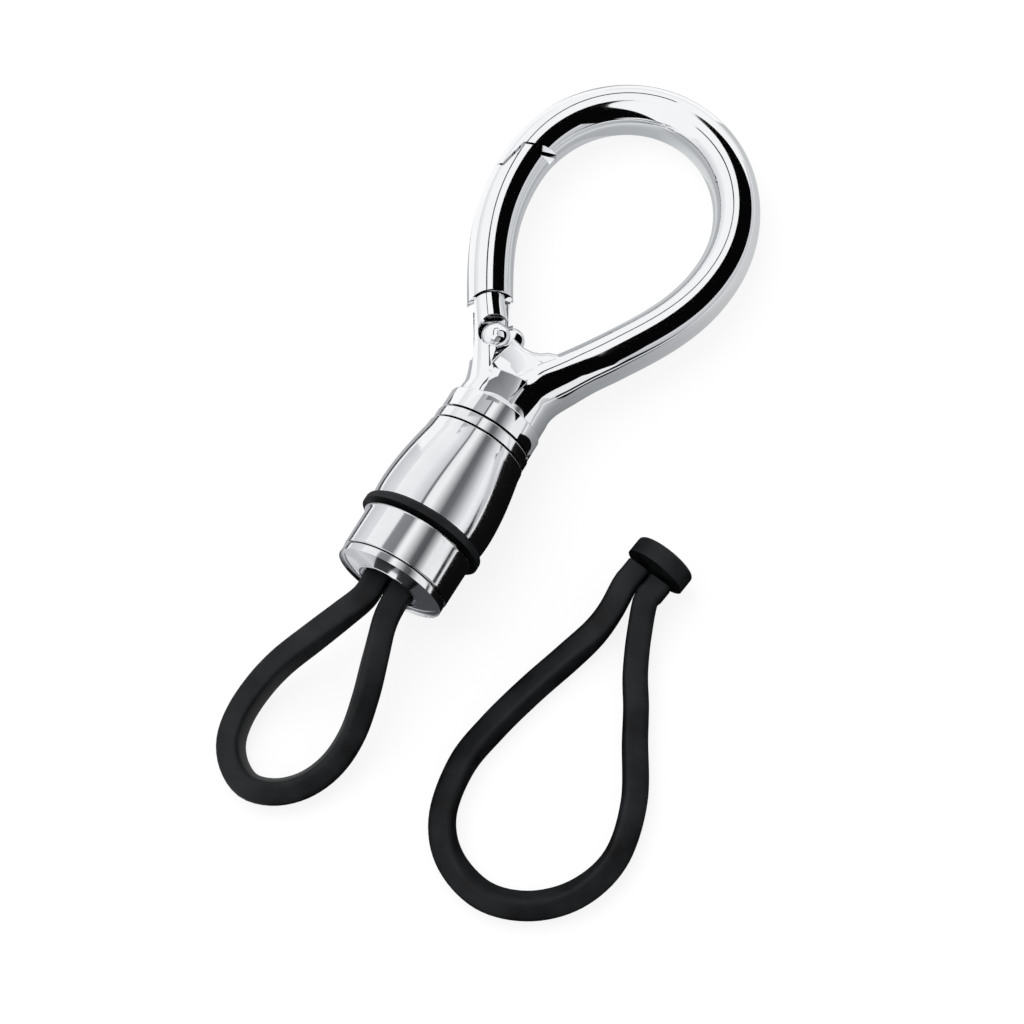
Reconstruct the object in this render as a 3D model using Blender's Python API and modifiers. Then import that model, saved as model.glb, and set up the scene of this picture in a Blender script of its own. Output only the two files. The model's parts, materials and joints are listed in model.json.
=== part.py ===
"""Carabiner keychain: a sprung ring hook on a swivelling barrel that holds a rubber loop, and a spare loop.

It lies on a surface: +Z is up, and +Y runs along the barrel towards the ring's far end.
The hook is drawn flat, with the barrel's axis along Y and the swivel gap at zero, and is
then laid down by one empty, so that the band and the far end of the ring both touch.
"""

import math

import bmesh
import bpy
from mathutils import Matrix, Vector

MM = 0.001

# Ring, measured on the centre line of its section
RING_HALF_WIDTH = 14.75 * MM
RING_WIDEST_Y = 35.3 * MM
RING_TOP_Y = 51.6 * MM
ARM_X = 8.3 * MM
ARM_Y = 17.5 * MM
ARM_SLOPE = math.radians(30.2)
NECK_ARM_X = 3.0 * MM
NECK_ARM_Y = 6.0 * MM
SECTION_WIDTH = 6.1 * MM
SECTION_HEIGHT = 7.0 * MM
SECTION_POWER = 2.35
ROUND_SHARE = 0.5523
WIDE_HANDLE_SHARE = 0.42
ARM_HANDLE_SHARE = 0.335
FOOT_HANDLE_SHARE = 0.39
NECK_HANDLE_SHARE = 0.35
NECK_GROWTH_SHARE = 0.08
# The gate's side bows out a little more, is slimmer and turns into the neck more sharply
GATE_BOW = 0.85 * MM
GATE_FOOT_SHARE = 0.30
GATE_NECK_SHARE = 0.22
GATE_SLIM_SHARE = 0.07

# Nose and gate
NOSE_RADIUS = 27.1 * MM
LIP_LENGTH = 4.0 * MM
LIP_ROOT = 2.3 * MM
LIP_TIP = 1.4 * MM
GATE_GAP = 0.3 * MM
RIVET_X = 5.15 * MM
RIVET_Y = 11.9 * MM
CHEEK_RADIUS = 5.8 * MM
CHEEK_WIDTH = 4.9 * MM
SLOT_WIDTH = 4.2 * MM
SLOT_RADIUS = 4.4 * MM
TONGUE_THICKNESS = 1.6 * MM
EYE_RADIUS = 2.25 * MM
HEEL_REACH = 3.9 * MM
HEEL_RADIUS = 1.7 * MM
HEEL_ANGLE = math.radians(48)
TONGUE_ROOT_SHARE = 0.8
CHEEK_END_SPREAD = math.radians(70)
RIVET_RADIUS = 0.95 * MM
RIVET_CLEARANCE = 0.2 * MM
RIVET_HEAD_RADIUS = 1.5 * MM
RIVET_DOME = 0.75 * MM
SINK_RADIUS = 2.0 * MM
SINK_DEPTH = 0.7 * MM
SPRING_WIRE = 0.3 * MM
SPRING_RADIUS = 1.5 * MM
SPRING_PITCH = 0.76 * MM
SPRING_TURNS = 1.75
SPRING_CURL_POINTS = 9
GATE_LEG_SHARES = (1.0, 2.0, 3.0)
HOOK_LEG_SHARES = (1.6, 0.8)

# Neck, collar and swivel. A step is how far one round piece stands in from the next one
COLLAR_STEP = 0.3 * MM
COLLAR_LENGTH = 2.9 * MM
COLLAR_ROUND = 0.5 * MM
NECK_STEP = 0.6 * MM
NECK_TOP = 7.6 * MM
SHOULDER_TOP = 11.2 * MM
SHOULDER_RADIUS = 2.6 * MM
WEB_TOP = 12.2 * MM
# The web's top edge, across from the middle and up from its top, as shares of the section's half width
WEB_EDGE_SHARES = [
    (-1.44, 0.26), (-1.02, 0.16), (-0.66, 0.07), (-0.36, 0.0), (0.0, 0.02), (0.33, 0.13), (0.59, 0.33),
    (0.79, 0.52), (0.95, 0.72), (1.18, 0.79), (1.41, 0.52),
]
WEB_THICKNESS = 6.2 * MM
WEB_ROUND = 0.6 * MM
SWIVEL_GAP = 0.4 * MM
SWIVEL_RING_LENGTH = 1.4 * MM
SWIVEL_RING_STEP = 0.15 * MM
BOSS_RADIUS = 2.3 * MM
BOSS_CLEARANCE = 0.3 * MM
SEAT_GAP = 0.3 * MM

# Barrel
SHELL_LENGTH = 11.9 * MM
SHELL_TAPER = 1.2 * MM
BELLY_SWELL = 0.2 * MM
SHELL_STEP = 0.6 * MM
SHELL_ROUND = 0.55 * MM
SHELL_CEILING = 2.2 * MM
BELLY_SHARE = 0.8
BELLY_STEPS = 6
CAVITY_CLEARANCE = 0.3 * MM
BAND_RADIUS = 8.35 * MM
BAND_WIDTH = 1.9 * MM
BAND_ROUND = 0.35 * MM
CAP_LENGTH = 4.6 * MM
CAP_STEP = 0.35 * MM
CAP_TAPER = 0.6 * MM
THREAD_LENGTH = 3.8 * MM
# How much of the room between the cord's hole and the shell's top the threaded sleeve takes
THREAD_WALL_SHARE = 5 / 12
RIM_LENGTH = 2.4 * MM
RIM_STEP = 0.05 * MM
RIM_ROUND = 0.9 * MM
RIM_PLUG_STEP = 0.2 * MM
RIM_PLUG_LENGTH = 1.5 * MM
HOLE_CLEARANCE = 0.4 * MM
HOLE_ROUND = 0.4 * MM

# Screw and washer inside the barrel
SCREW_RADIUS = 1.4 * MM
SCREW_HEAD_RADIUS = 2.6 * MM
SCREW_HEAD_HEIGHT = 1.3 * MM
SCREW_GRIP = 7.0 * MM
WASHER_RADIUS = 4.0 * MM
WASHER_THICKNESS = 0.5 * MM
BORE_CLEARANCE = 0.25 * MM

# Rubber loops
CORD_DIAMETER = 3.2 * MM
STRAND_GAP = 0.3 * MM
SURFACE_GAP = 0.05 * MM
STOPPER_LAP = 0.45 * MM
STOPPER_THICKNESS = 3.0 * MM
STOPPER_ROUND = 0.5 * MM

# The fitted loop past its hole: across and along from the hole, in mm, and how much of the hole's
# height above a cord laid on the surface is left there
LOOP_ROUTE = [
    (-1.8, -2.6, 1.01), (-3.0, -5.8, 0.95), (-4.9, -10.0, 0.77), (-7.2, -14.4, 0.49),
    (-8.5, -18.4, 0.26), (-8.9, -22.4, 0.08), (-8.0, -26.0, 0.01), (-5.7, -28.5, 0.0),
    (-2.7, -29.7, 0.0), (0.6, -28.5, 0.0), (3.2, -25.5, 0.02), (4.8, -21.8, 0.10),
    (5.2, -17.6, 0.30), (4.5, -13.0, 0.59), (3.2, -8.2, 0.85), (2.0, -3.8, 1.0),
]
# The spare loop past its stopper, measured from the stopper's near face in the same way
SPARE_ROUTE = [
    (-2.35, -6.4, 0.62), (-2.8, -9.8, 0.3), (-4.1, -14.1, 0.04), (-6.1, -20.3, 0.0),
    (-8.1, -26.9, 0.0), (-9.0, -33.1, 0.0), (-7.6, -39.7, 0.0), (-3.7, -44.0, 0.0),
    (2.1, -45.8, 0.0), (7.8, -44.0, 0.0), (12.1, -39.6, 0.0), (13.9, -33.4, 0.0),
    (12.6, -26.0, 0.0), (9.0, -19.0, 0.0), (6.5, -15.4, 0.0), (4.6, -12.3, 0.06),
    (3.3, -9.7, 0.22), (2.2, -7.1, 0.5),
]
SPARE_STOPPER_X = 27.3 * MM
SPARE_STOPPER_Y = -19.5 * MM
SPARE_TURN = math.radians(-8)
SPARE_LEFT_SHARE = 1.12
SPARE_RIGHT_SHARE = 0.8
CORD_STEP_SHARE = 2.0
STRAIGHT_START_SHARES = (1, 6, 11)

# How finely round shapes are cut
TURN_STEPS = 44
SMALL_STEPS = 28
SECTION_POINTS = 22
ROUTE_STEPS = 12
CUT_OVERRUN = 4.0 * MM
WELD = 0.01 * MM
EDGE_ANGLE = math.radians(40)
RIM_ANGLE = math.radians(60)
STEEL = (0.62, 0.63, 0.65, 1.0)
CHROME = (0.80, 0.81, 0.83, 1.0)
RUBBER = (0.02, 0.022, 0.024, 1.0)

# Radii along the barrel that follow from the band's
SHELL_FOOT_RADIUS = BAND_RADIUS - SHELL_STEP
SHELL_BELLY_RADIUS = SHELL_FOOT_RADIUS + BELLY_SWELL
SHELL_TOP_RADIUS = SHELL_BELLY_RADIUS - SHELL_TAPER
SWIVEL_RING_RADIUS = SHELL_TOP_RADIUS - SWIVEL_RING_STEP
COLLAR_RADIUS = SHELL_TOP_RADIUS - COLLAR_STEP
NECK_RADIUS = COLLAR_RADIUS - NECK_STEP
CAP_TOP_RADIUS = BAND_RADIUS - CAP_STEP
CAP_FOOT_RADIUS = CAP_TOP_RADIUS - CAP_TAPER
RIM_RADIUS = CAP_FOOT_RADIUS - RIM_STEP

# Radii inside it: the hole passes both strands, and the stopper is too wide for the hole
HOLE_RADIUS = CORD_DIAMETER + STRAND_GAP / 2 + HOLE_CLEARANCE
STOPPER_RADIUS = HOLE_RADIUS + STOPPER_LAP
THREAD_RADIUS = HOLE_RADIUS + (SHELL_TOP_RADIUS - HOLE_RADIUS) * THREAD_WALL_SHARE
CAVITY_RADIUS = THREAD_RADIUS + CAVITY_CLEARANCE
RIM_PLUG_RADIUS = THREAD_RADIUS + RIM_PLUG_STEP

# Places along the barrel's axis that follow from the lengths above
COLLAR_FOOT = SWIVEL_GAP / 2
COLLAR_TOP = COLLAR_FOOT + COLLAR_LENGTH
SWIVEL_RING_TOP = COLLAR_FOOT - SWIVEL_GAP
SWIVEL_RING_FOOT = SWIVEL_RING_TOP - SWIVEL_RING_LENGTH
SHELL_TOP = SWIVEL_RING_FOOT - SEAT_GAP
SHELL_FOOT = SHELL_TOP - SHELL_LENGTH
CEILING_FOOT = SHELL_TOP - SHELL_CEILING
BOSS_FOOT = CEILING_FOOT - SEAT_GAP
WASHER_TOP = BOSS_FOOT - SEAT_GAP
WASHER_FOOT = WASHER_TOP - WASHER_THICKNESS
HEAD_TOP = WASHER_FOOT - SEAT_GAP / 2
HEAD_FOOT = HEAD_TOP - SCREW_HEAD_HEIGHT
STOPPER_TOP = HEAD_FOOT - SEAT_GAP
STOPPER_FOOT = STOPPER_TOP - STOPPER_THICKNESS
BAND_TOP = SHELL_FOOT - SEAT_GAP
BAND_FOOT = BAND_TOP - BAND_WIDTH
CAP_TOP = BAND_FOOT - SEAT_GAP
CAP_FOOT = CAP_TOP - CAP_LENGTH
THREAD_TOP = SHELL_FOOT + THREAD_LENGTH
RIM_TOP = CAP_FOOT - SEAT_GAP
RIM_FOOT = RIM_TOP - RIM_LENGTH
STRAND_X = (CORD_DIAMETER + STRAND_GAP) / 2
HALF_WIDTH = SECTION_WIDTH / 2
HALF_HEIGHT = SECTION_HEIGHT / 2


def lowest_by_profile(profile, tilt):
    """The lowest point of a turned profile, given as (radius, place) pairs, once it is tilted."""
    return min(-radius * math.cos(tilt) - place * math.sin(tilt) for radius, place in profile)


def band_profile():
    """Outer side top to bottom, then the inner side."""
    inner = THREAD_RADIUS + BORE_CLEARANCE
    return [
        (BAND_RADIUS - BAND_ROUND, BAND_TOP), (BAND_RADIUS, BAND_TOP - BAND_ROUND),
        (BAND_RADIUS, BAND_FOOT + BAND_ROUND), (BAND_RADIUS - BAND_ROUND, BAND_FOOT),
        (inner, BAND_FOOT), (inner, BAND_TOP),
    ]


def ring_end_low(tilt):
    """The lowest point of the ring's far end, once it is tilted."""
    reach = math.hypot(HALF_WIDTH * math.sin(tilt), HALF_HEIGHT * math.cos(tilt))
    return -RING_TOP_Y * math.sin(tilt) - reach


def resting_tilt():
    """The tilt at which the band and the ring's far end are equally low."""
    low, high = 0.0, math.atan(BAND_RADIUS / RING_TOP_Y)
    while high - low > math.ulp(high):
        middle = (low + high) / 2
        if middle in (low, high):
            break
        if ring_end_low(middle) > lowest_by_profile(band_profile(), middle):
            low = middle
        else:
            high = middle
    return low


TILT = resting_tilt()
AXIS_HEIGHT = -lowest_by_profile(band_profile(), TILT)
FAR_END = RING_TOP_Y * math.cos(TILT) + math.hypot(
    HALF_WIDTH * math.cos(TILT), HALF_HEIGHT * math.sin(TILT)
)
NEAR_END = min(
    RIM_FOOT * math.cos(TILT) - (RIM_RADIUS - RIM_ROUND) * math.sin(TILT),
    (RIM_FOOT + RIM_ROUND) * math.cos(TILT) - RIM_RADIUS * math.sin(TILT),
)
AXIS_START_Y = -(FAR_END + NEAR_END) / 2
RIVET = Vector((-RIVET_X, RIVET_Y, 0))
HEEL_CENTRE = RIVET + Vector((math.cos(HEEL_ANGLE), math.sin(HEEL_ANGLE), 0)) * (HEEL_REACH - HEEL_RADIUS)
ARM_WAY = Vector((-math.sin(ARM_SLOPE), math.cos(ARM_SLOPE), 0))
SINK_FLOOR = HALF_HEIGHT - SINK_DEPTH
CORD_LIFT = CORD_DIAMETER / 2 + SURFACE_GAP


def clear_scene():
    for obj in list(bpy.data.objects):
        bpy.data.objects.remove(obj, do_unlink=True)


def material(name, colour, metallic, roughness):
    made = bpy.data.materials.new(name)
    made.use_nodes = True
    shader = made.node_tree.nodes["Principled BSDF"]
    shader.inputs["Base Color"].default_value = colour
    shader.inputs["Metallic"].default_value = metallic
    shader.inputs["Roughness"].default_value = roughness
    return made


def collection(name, hidden=False):
    made = bpy.data.collections.new(name)
    made.hide_render = hidden
    bpy.context.scene.collection.children.link(made)
    return made


def cubic(start, handle, far_handle, end, steps):
    """Points along one Bezier piece, without its last."""
    points = []
    for step in range(steps):
        t = step / steps
        u = 1 - t
        points.append(
            start * u**3 + handle * (3 * u * u * t) + far_handle * (3 * u * t * t) + end * t**3
        )
    return points


def side_route(steps, bow, foot_share, neck_share):
    """The centre line of one side, from the top of the ring down into the collar, three pieces long."""
    top = Vector((0, RING_TOP_Y, 0))
    wide = Vector((RING_HALF_WIDTH, RING_WIDEST_Y, 0))
    arm = Vector((ARM_X + bow, ARM_Y, 0))
    neck = Vector((NECK_ARM_X, NECK_ARM_Y, 0))
    foot = Vector((NECK_ARM_X, COLLAR_TOP - COLLAR_ROUND * 2, 0))
    slope = Vector((math.sin(ARM_SLOPE), math.cos(ARM_SLOPE), 0))
    along, up = Vector((1, 0, 0)), Vector((0, 1, 0))
    rise = RING_TOP_Y - RING_WIDEST_Y
    fall = RING_WIDEST_Y - ARM_Y
    drop = ARM_Y - NECK_ARM_Y
    points = cubic(
        top, top + along * (RING_HALF_WIDTH * ROUND_SHARE), wide + up * (rise * ROUND_SHARE), wide, steps
    )
    points += cubic(
        wide, wide - up * (fall * WIDE_HANDLE_SHARE), arm + slope * (fall * ARM_HANDLE_SHARE), arm, steps
    )
    points += cubic(arm, arm - slope * (drop * foot_share), neck + up * (drop * neck_share), neck, steps)
    return points + [neck, foot]


def mirrored(points):
    return [Vector((-point.x, point.y, point.z)) for point in points]


def section_outline(half_width, half_height):
    """A rounded-off oval: fuller than an ellipse, with no flat and no edge."""
    power = 2 / SECTION_POWER
    outline = []
    for step in range(SECTION_POINTS):
        turn = 2 * math.pi * (step + 0.5) / SECTION_POINTS
        across, up = math.cos(turn), math.sin(turn)
        outline.append(
            Vector((
                math.copysign(half_width * abs(across) ** power, across),
                math.copysign(half_height * abs(up) ** power, up),
                0,
            ))
        )
    return outline


def curve(name, points, closed=False, flat=False, radii=None):
    data = bpy.data.curves.new(name, "CURVE")
    data.dimensions = "2D" if flat else "3D"
    spline = data.splines.new("POLY")
    spline.points.add(len(points) - 1)
    for place, point in zip(spline.points, points):
        place.co = (*point, 1)
    for place, radius in zip(spline.points, radii or []):
        place.radius = radius
    spline.use_cyclic_u = closed
    made = bpy.data.objects.new(name, data)
    bpy.context.scene.collection.objects.link(made)
    return made


def meshed(line):
    """Turns a curve into a mesh with its caps welded on."""
    bpy.context.view_layer.update()
    graph = bpy.context.evaluated_depsgraph_get()
    mesh = bpy.data.meshes.new_from_object(line.evaluated_get(graph))
    work = bmesh.new()
    work.from_mesh(mesh)
    bmesh.ops.remove_doubles(work, verts=work.verts, dist=WELD)
    bmesh.ops.recalc_face_normals(work, faces=work.faces)
    if work.calc_volume(signed=True) < 0:
        bmesh.ops.reverse_faces(work, faces=work.faces)
    work.to_mesh(mesh)
    work.free()
    name = line.name
    place = line.matrix_world.copy()
    bpy.data.objects.remove(line, do_unlink=True)
    solid = bpy.data.objects.new(name, mesh)
    solid.matrix_world = place
    bpy.context.scene.collection.objects.link(solid)
    return solid


def swept(name, route, section, radii):
    line = curve(name, route, radii=radii)
    line.data.twist_mode = "Z_UP"
    line.data.bevel_mode = "OBJECT"
    line.data.bevel_object = section
    line.data.use_fill_caps = True
    solid = meshed(line)
    smooth(solid)
    return solid


def plate(name, outline, thickness, middle_z=0.0):
    line = curve(name, outline, closed=True, flat=True)
    line.data.fill_mode = "BOTH"
    line.data.extrude = thickness / 2
    line.location.z = middle_z
    return meshed(line)


def cylinder(name, radius, start, end, steps):
    """A cylinder between two points, for a cutter."""
    mesh = bpy.data.meshes.new(name)
    work = bmesh.new()
    way = end - start
    place = Matrix.Translation((start + end) / 2) @ way.to_track_quat("Z", "Y").to_matrix().to_4x4()
    bmesh.ops.create_cone(
        work, cap_ends=True, segments=steps, radius1=radius, radius2=radius, depth=way.length, matrix=place
    )
    work.to_mesh(mesh)
    work.free()
    made = bpy.data.objects.new(name, mesh)
    bpy.context.scene.collection.objects.link(made)
    return made


def smooth(obj):
    """Shades a rounded piece smooth, and keeps its real edges."""
    obj.data.shade_smooth()
    if obj.type == "MESH":
        work = bmesh.new()
        work.from_mesh(obj.data)
        for edge in work.edges:
            edge.smooth = edge.calc_face_angle(0.0) < EDGE_ANGLE
        work.to_mesh(obj.data)
        work.free()


def turned(name, profile, steps, ring=True):
    """A piece turned round the barrel's axis, from (radius, place) pairs."""
    mesh = bpy.data.meshes.new(name)
    last = len(profile) - 1
    edges = [(index, index + 1) for index in range(last)]
    if ring:
        edges.append((last, 0))
    mesh.from_pydata([(radius, 0, place) for radius, place in profile], edges, [])
    made = bpy.data.objects.new(name, mesh)
    bpy.context.scene.collection.objects.link(made)
    screw = made.modifiers.new("turn", "SCREW")
    screw.steps = steps
    screw.render_steps = steps
    screw.use_merge_vertices = True
    screw.merge_threshold = WELD
    screw.use_smooth_shade = True
    made.rotation_euler.x = -math.pi / 2
    return made


def rounded(radius, place, round_x, round_y, steps=3):
    """A rounded corner of a profile: from (radius - round_x, place) to (radius, place - round_y)."""
    points = []
    for step in range(steps + 1):
        turn = math.pi / 2 * step / steps
        points.append((
            radius - round_x + round_x * math.sin(turn),
            place - round_y + round_y * math.cos(turn),
        ))
    return points


def boolean(target, cutter, operation, helpers, stand):
    change = target.modifiers.new(cutter.name, "BOOLEAN")
    change.operation = operation
    change.solver = "EXACT"
    change.object = cutter
    if cutter.name not in helpers.objects:
        keep(cutter, helpers, stand)
        cutter.hide_render = True
        cutter.display_type = "WIRE"


def keep(obj, home, stand):
    """Moves an object into its collection, and onto the laid-down hook."""
    for old in list(obj.users_collection):
        old.objects.unlink(obj)
    home.objects.link(obj)
    obj.parent = stand


def move_origin(obj, origin):
    obj.data.transform(Matrix.Translation(-origin))
    obj.location = origin


def arc(centre, radius, start, end, steps):
    return [
        centre + Vector((
            math.cos(start + (end - start) * step / steps),
            math.sin(start + (end - start) * step / steps),
            0,
        )) * radius
        for step in range(steps + 1)
    ]


def angle_from_rivet(point):
    way = point - RIVET
    return math.atan2(way.y, way.x)


def gate_room(gap, floor_y):
    """The outline in which the gate closes: under the nose's arc, inside its lip, and below the lip's end."""
    outer_x = RING_HALF_WIDTH + HALF_WIDTH
    root_way = math.acos((outer_x - LIP_ROOT - RIVET_X) / NOSE_RADIUS)
    root = RIVET + Vector((-math.cos(root_way), math.sin(root_way), 0)) * NOSE_RADIUS
    tip = Vector((-(outer_x - LIP_TIP), root.y - LIP_LENGTH, 0))
    out = Vector((-gap, 0, 0))
    outside = Vector((-(outer_x + CUT_OVERRUN), tip.y + gap, 0))
    start = angle_from_rivet(root + out)
    top = arc(RIVET, NOSE_RADIUS + gap, start, math.pi / 2, ROUTE_STEPS)
    return [
        *top,
        Vector((top[-1].x, floor_y, 0)),
        Vector((outside.x, floor_y, 0)),
        outside,
        tip + out + Vector((0, gap, 0)),
    ]


def hull(circles):
    """The outline of a band stretched round circles, given as (centre, radius) pairs."""
    points = []
    for centre, radius in circles:
        points += arc(centre, radius, 0.0, 2 * math.pi, SMALL_STEPS)[:-1]
    points.sort(key=lambda point: (point.x, point.y))
    outline = []
    for pass_points in (points, points[::-1]):
        side = []
        for point in pass_points:
            while len(side) > 1 and turn_of(side[-2], side[-1], point) <= WELD * WELD:
                side.pop()
            side.append(point)
        outline += side[:-1]
    return outline


def turn_of(first, second, third):
    return (second.x - first.x) * (third.y - first.y) - (second.y - first.y) * (third.x - first.x)


def smooth_route(points, step):
    """Even points along a smooth curve through hand-chosen ones, with one more near each end for a square cap."""
    ends = [points[0] * 2 - points[1], *points, points[-1] * 2 - points[-2]]
    fine = []
    for before, start, end, after in zip(ends, ends[1:], ends[2:], ends[3:]):
        for index in range(ROUTE_STEPS):
            t = index / ROUTE_STEPS
            fine.append(
                (
                    start * 2
                    + (end - before) * t
                    + (before * 2 - start * 5 + end * 4 - after) * t**2
                    + (start * 3 - before - end * 3 + after) * t**3
                )
                / 2
            )
    fine.append(points[-1])
    lengths = [0.0]
    for start, end in zip(fine, fine[1:]):
        lengths.append(lengths[-1] + (end - start).length)
    count = math.ceil(lengths[-1] / step)
    even = []
    index = 0
    for number in sorted([*range(count + 1), 0.5, count - 0.5]):
        wanted = lengths[-1] * number / count
        while index < len(fine) - 2 and lengths[index + 1] < wanted:
            index += 1
        share = (wanted - lengths[index]) / (lengths[index + 1] - lengths[index])
        even.append(fine[index].lerp(fine[index + 1], min(1.0, share)))
    return even, lengths[-1]


def cord(name, points):
    route, length = smooth_route(points, CORD_DIAMETER * CORD_STEP_SHARE)
    line = curve(name, route)
    line.data.bevel_depth = CORD_DIAMETER / 2
    line.data.bevel_resolution = 2
    line.data.use_fill_caps = True
    for spline in line.data.splines:
        spline.use_smooth = True
    print(f"{name} is {length / MM:.1f} mm long")
    return line


def make_frame(helpers, stand):
    side = side_route(ROUTE_STEPS, 0.0, FOOT_HANDLE_SHARE, NECK_HANDLE_SHARE)
    gate_side = mirrored(side_route(ROUTE_STEPS, GATE_BOW, GATE_FOOT_SHARE, GATE_NECK_SHARE))
    section = curve("ring_section", section_outline(HALF_WIDTH, HALF_HEIGHT), closed=True, flat=True)
    last = len(side) - 1
    foot_start = 2 * ROUTE_STEPS
    growth = [
        1 + NECK_GROWTH_SHARE * max(0, index - foot_start) / (last - foot_start)
        for index in range(last + 1)
    ]
    # The main sweep runs from beyond the nose, over the top and down the right side
    nose_index = ROUTE_STEPS + ROUTE_STEPS // 6
    left = gate_side[: nose_index + 1][::-1]
    frame = swept("hook_frame", left[:-1] + side, section, growth[: nose_index + 1][::-1][:-1] + growth)
    # The left foot carries the hinge cheeks
    foot = gate_side[foot_start:]
    slim = [
        1 - GATE_SLIM_SHARE + (GATE_SLIM_SHARE + NECK_GROWTH_SHARE) * index / (len(foot) - 1)
        for index in range(len(foot))
    ]
    cheeks = swept("hinge_cheeks", foot, section, slim)
    way = angle_from_rivet(RIVET + ARM_WAY)
    spread = CHEEK_END_SPREAD
    cheek_end = plate(
        "cheek_end",
        arc(RIVET, CHEEK_RADIUS, way - spread, way + spread, SMALL_STEPS)
        + arc(RIVET, CHEEK_RADIUS * 2, way + spread, way - spread, SMALL_STEPS),
        SECTION_HEIGHT + CUT_OVERRUN,
    )
    boolean(cheeks, cheek_end, "DIFFERENCE", helpers, stand)

    neck = turned(
        "neck_solid",
        [
            (0, SHOULDER_TOP + COLLAR_ROUND),
            (SHOULDER_RADIUS, SHOULDER_TOP),
            *rounded(NECK_RADIUS, NECK_TOP + COLLAR_ROUND, COLLAR_ROUND, COLLAR_ROUND * 2),
            (NECK_RADIUS, COLLAR_TOP),
            *rounded(COLLAR_RADIUS, COLLAR_TOP, COLLAR_ROUND / 2, COLLAR_ROUND / 2),
            *[
                (radius, COLLAR_FOOT + COLLAR_TOP - place)
                for radius, place in rounded(COLLAR_RADIUS, COLLAR_TOP, COLLAR_ROUND / 2, COLLAR_ROUND / 2)[::-1]
            ],
            (BOSS_RADIUS, COLLAR_FOOT),
            (BOSS_RADIUS, BOSS_FOOT),
            (0, BOSS_FOOT),
        ],
        TURN_STEPS,
        ring=False,
    )
    top_edge = [
        Vector((HALF_WIDTH * across_share, WEB_TOP + HALF_WIDTH * rise_share, 0))
        for across_share, rise_share in WEB_EDGE_SHARES
    ]
    web = plate(
        "neck_web",
        [*top_edge, Vector((NECK_ARM_X, NECK_ARM_Y, 0)), Vector((-NECK_ARM_X, NECK_ARM_Y, 0))],
        WEB_THICKNESS,
    )
    soften = web.modifiers.new("soften", "BEVEL")
    soften.width = WEB_ROUND
    soften.segments = 2
    soften.limit_method = "ANGLE"
    soften.angle_limit = RIM_ANGLE
    for piece in (neck, cheeks, web):
        boolean(frame, piece, "UNION", helpers, stand)

    nose_cut = plate(
        "nose_cut",
        gate_room(GATE_GAP / 2, left[0].y - SECTION_WIDTH),
        SECTION_HEIGHT + CUT_OVERRUN,
    )
    slot_round = cylinder(
        "slot_round",
        SLOT_RADIUS,
        RIVET - Vector((0, 0, SLOT_WIDTH / 2)),
        RIVET + Vector((0, 0, SLOT_WIDTH / 2)),
        TURN_STEPS,
    )
    across = Vector((ARM_WAY.y, -ARM_WAY.x, 0)) * SLOT_RADIUS
    reach = ARM_WAY * (CHEEK_RADIUS + CUT_OVERRUN)
    slot_mouth = plate(
        "slot_mouth",
        [RIVET - across, RIVET + across, RIVET + across + reach, RIVET - across + reach],
        SLOT_WIDTH,
    )
    up = Vector((0, 0, 1))
    pin_hole = cylinder(
        "pin_hole",
        RIVET_RADIUS + RIVET_CLEARANCE,
        RIVET - up * SECTION_HEIGHT,
        RIVET + up * SECTION_HEIGHT,
        SMALL_STEPS,
    )
    screw_hole = cylinder(
        "screw_hole",
        SCREW_RADIUS + BORE_CLEARANCE,
        Vector((0, BOSS_FOOT - CUT_OVERRUN, 0)),
        Vector((0, HEAD_TOP + SCREW_GRIP + SEAT_GAP, 0)),
        SMALL_STEPS,
    )
    cutters = [nose_cut, slot_round, slot_mouth, pin_hole, screw_hole]
    for name, way_up in (("top_sink", up), ("bottom_sink", -up)):
        cutters.append(
            cylinder(
                name, SINK_RADIUS, RIVET + way_up * SINK_FLOOR, RIVET + way_up * SECTION_HEIGHT, SMALL_STEPS
            )
        )
    for cutter in cutters:
        boolean(frame, cutter, "DIFFERENCE", helpers, stand)
    return frame, section, gate_side


def make_gate(section, gate_side, helpers, stand):
    start = ROUTE_STEPS * 3 // 4
    end = 2 * ROUTE_STEPS + ROUTE_STEPS // 4
    route = gate_side[start : end + 1]
    slim = [1 - GATE_SLIM_SHARE * index / (len(route) - 1) for index in range(len(route))]
    gate = swept("gate_arm", route, section, slim)
    room = plate("gate_room", gate_room(-GATE_GAP / 2, RIVET_Y - SECTION_WIDTH), SECTION_HEIGHT * 2)
    heel_gap = cylinder(
        "gate_end",
        CHEEK_RADIUS + GATE_GAP,
        RIVET - Vector((0, 0, SECTION_HEIGHT)),
        RIVET + Vector((0, 0, SECTION_HEIGHT)),
        TURN_STEPS,
    )
    tongue_z = -(SLOT_WIDTH / 2 - SEAT_GAP - TONGUE_THICKNESS / 2)
    root = RIVET + ARM_WAY * (CHEEK_RADIUS + EYE_RADIUS)
    tongue = plate(
        "gate_tongue",
        hull([(RIVET, EYE_RADIUS), (root, EYE_RADIUS * TONGUE_ROOT_SHARE), (HEEL_CENTRE, HEEL_RADIUS)]),
        TONGUE_THICKNESS,
        tongue_z,
    )
    eye = cylinder(
        "gate_eye",
        RIVET_RADIUS + BORE_CLEARANCE,
        RIVET - Vector((0, 0, SECTION_HEIGHT)),
        RIVET + Vector((0, 0, SECTION_HEIGHT)),
        SMALL_STEPS,
    )
    boolean(gate, room, "INTERSECT", helpers, stand)
    boolean(gate, heel_gap, "DIFFERENCE", helpers, stand)
    boolean(gate, tongue, "UNION", helpers, stand)
    boolean(gate, eye, "DIFFERENCE", helpers, stand)
    move_origin(gate, RIVET)
    return gate


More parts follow.
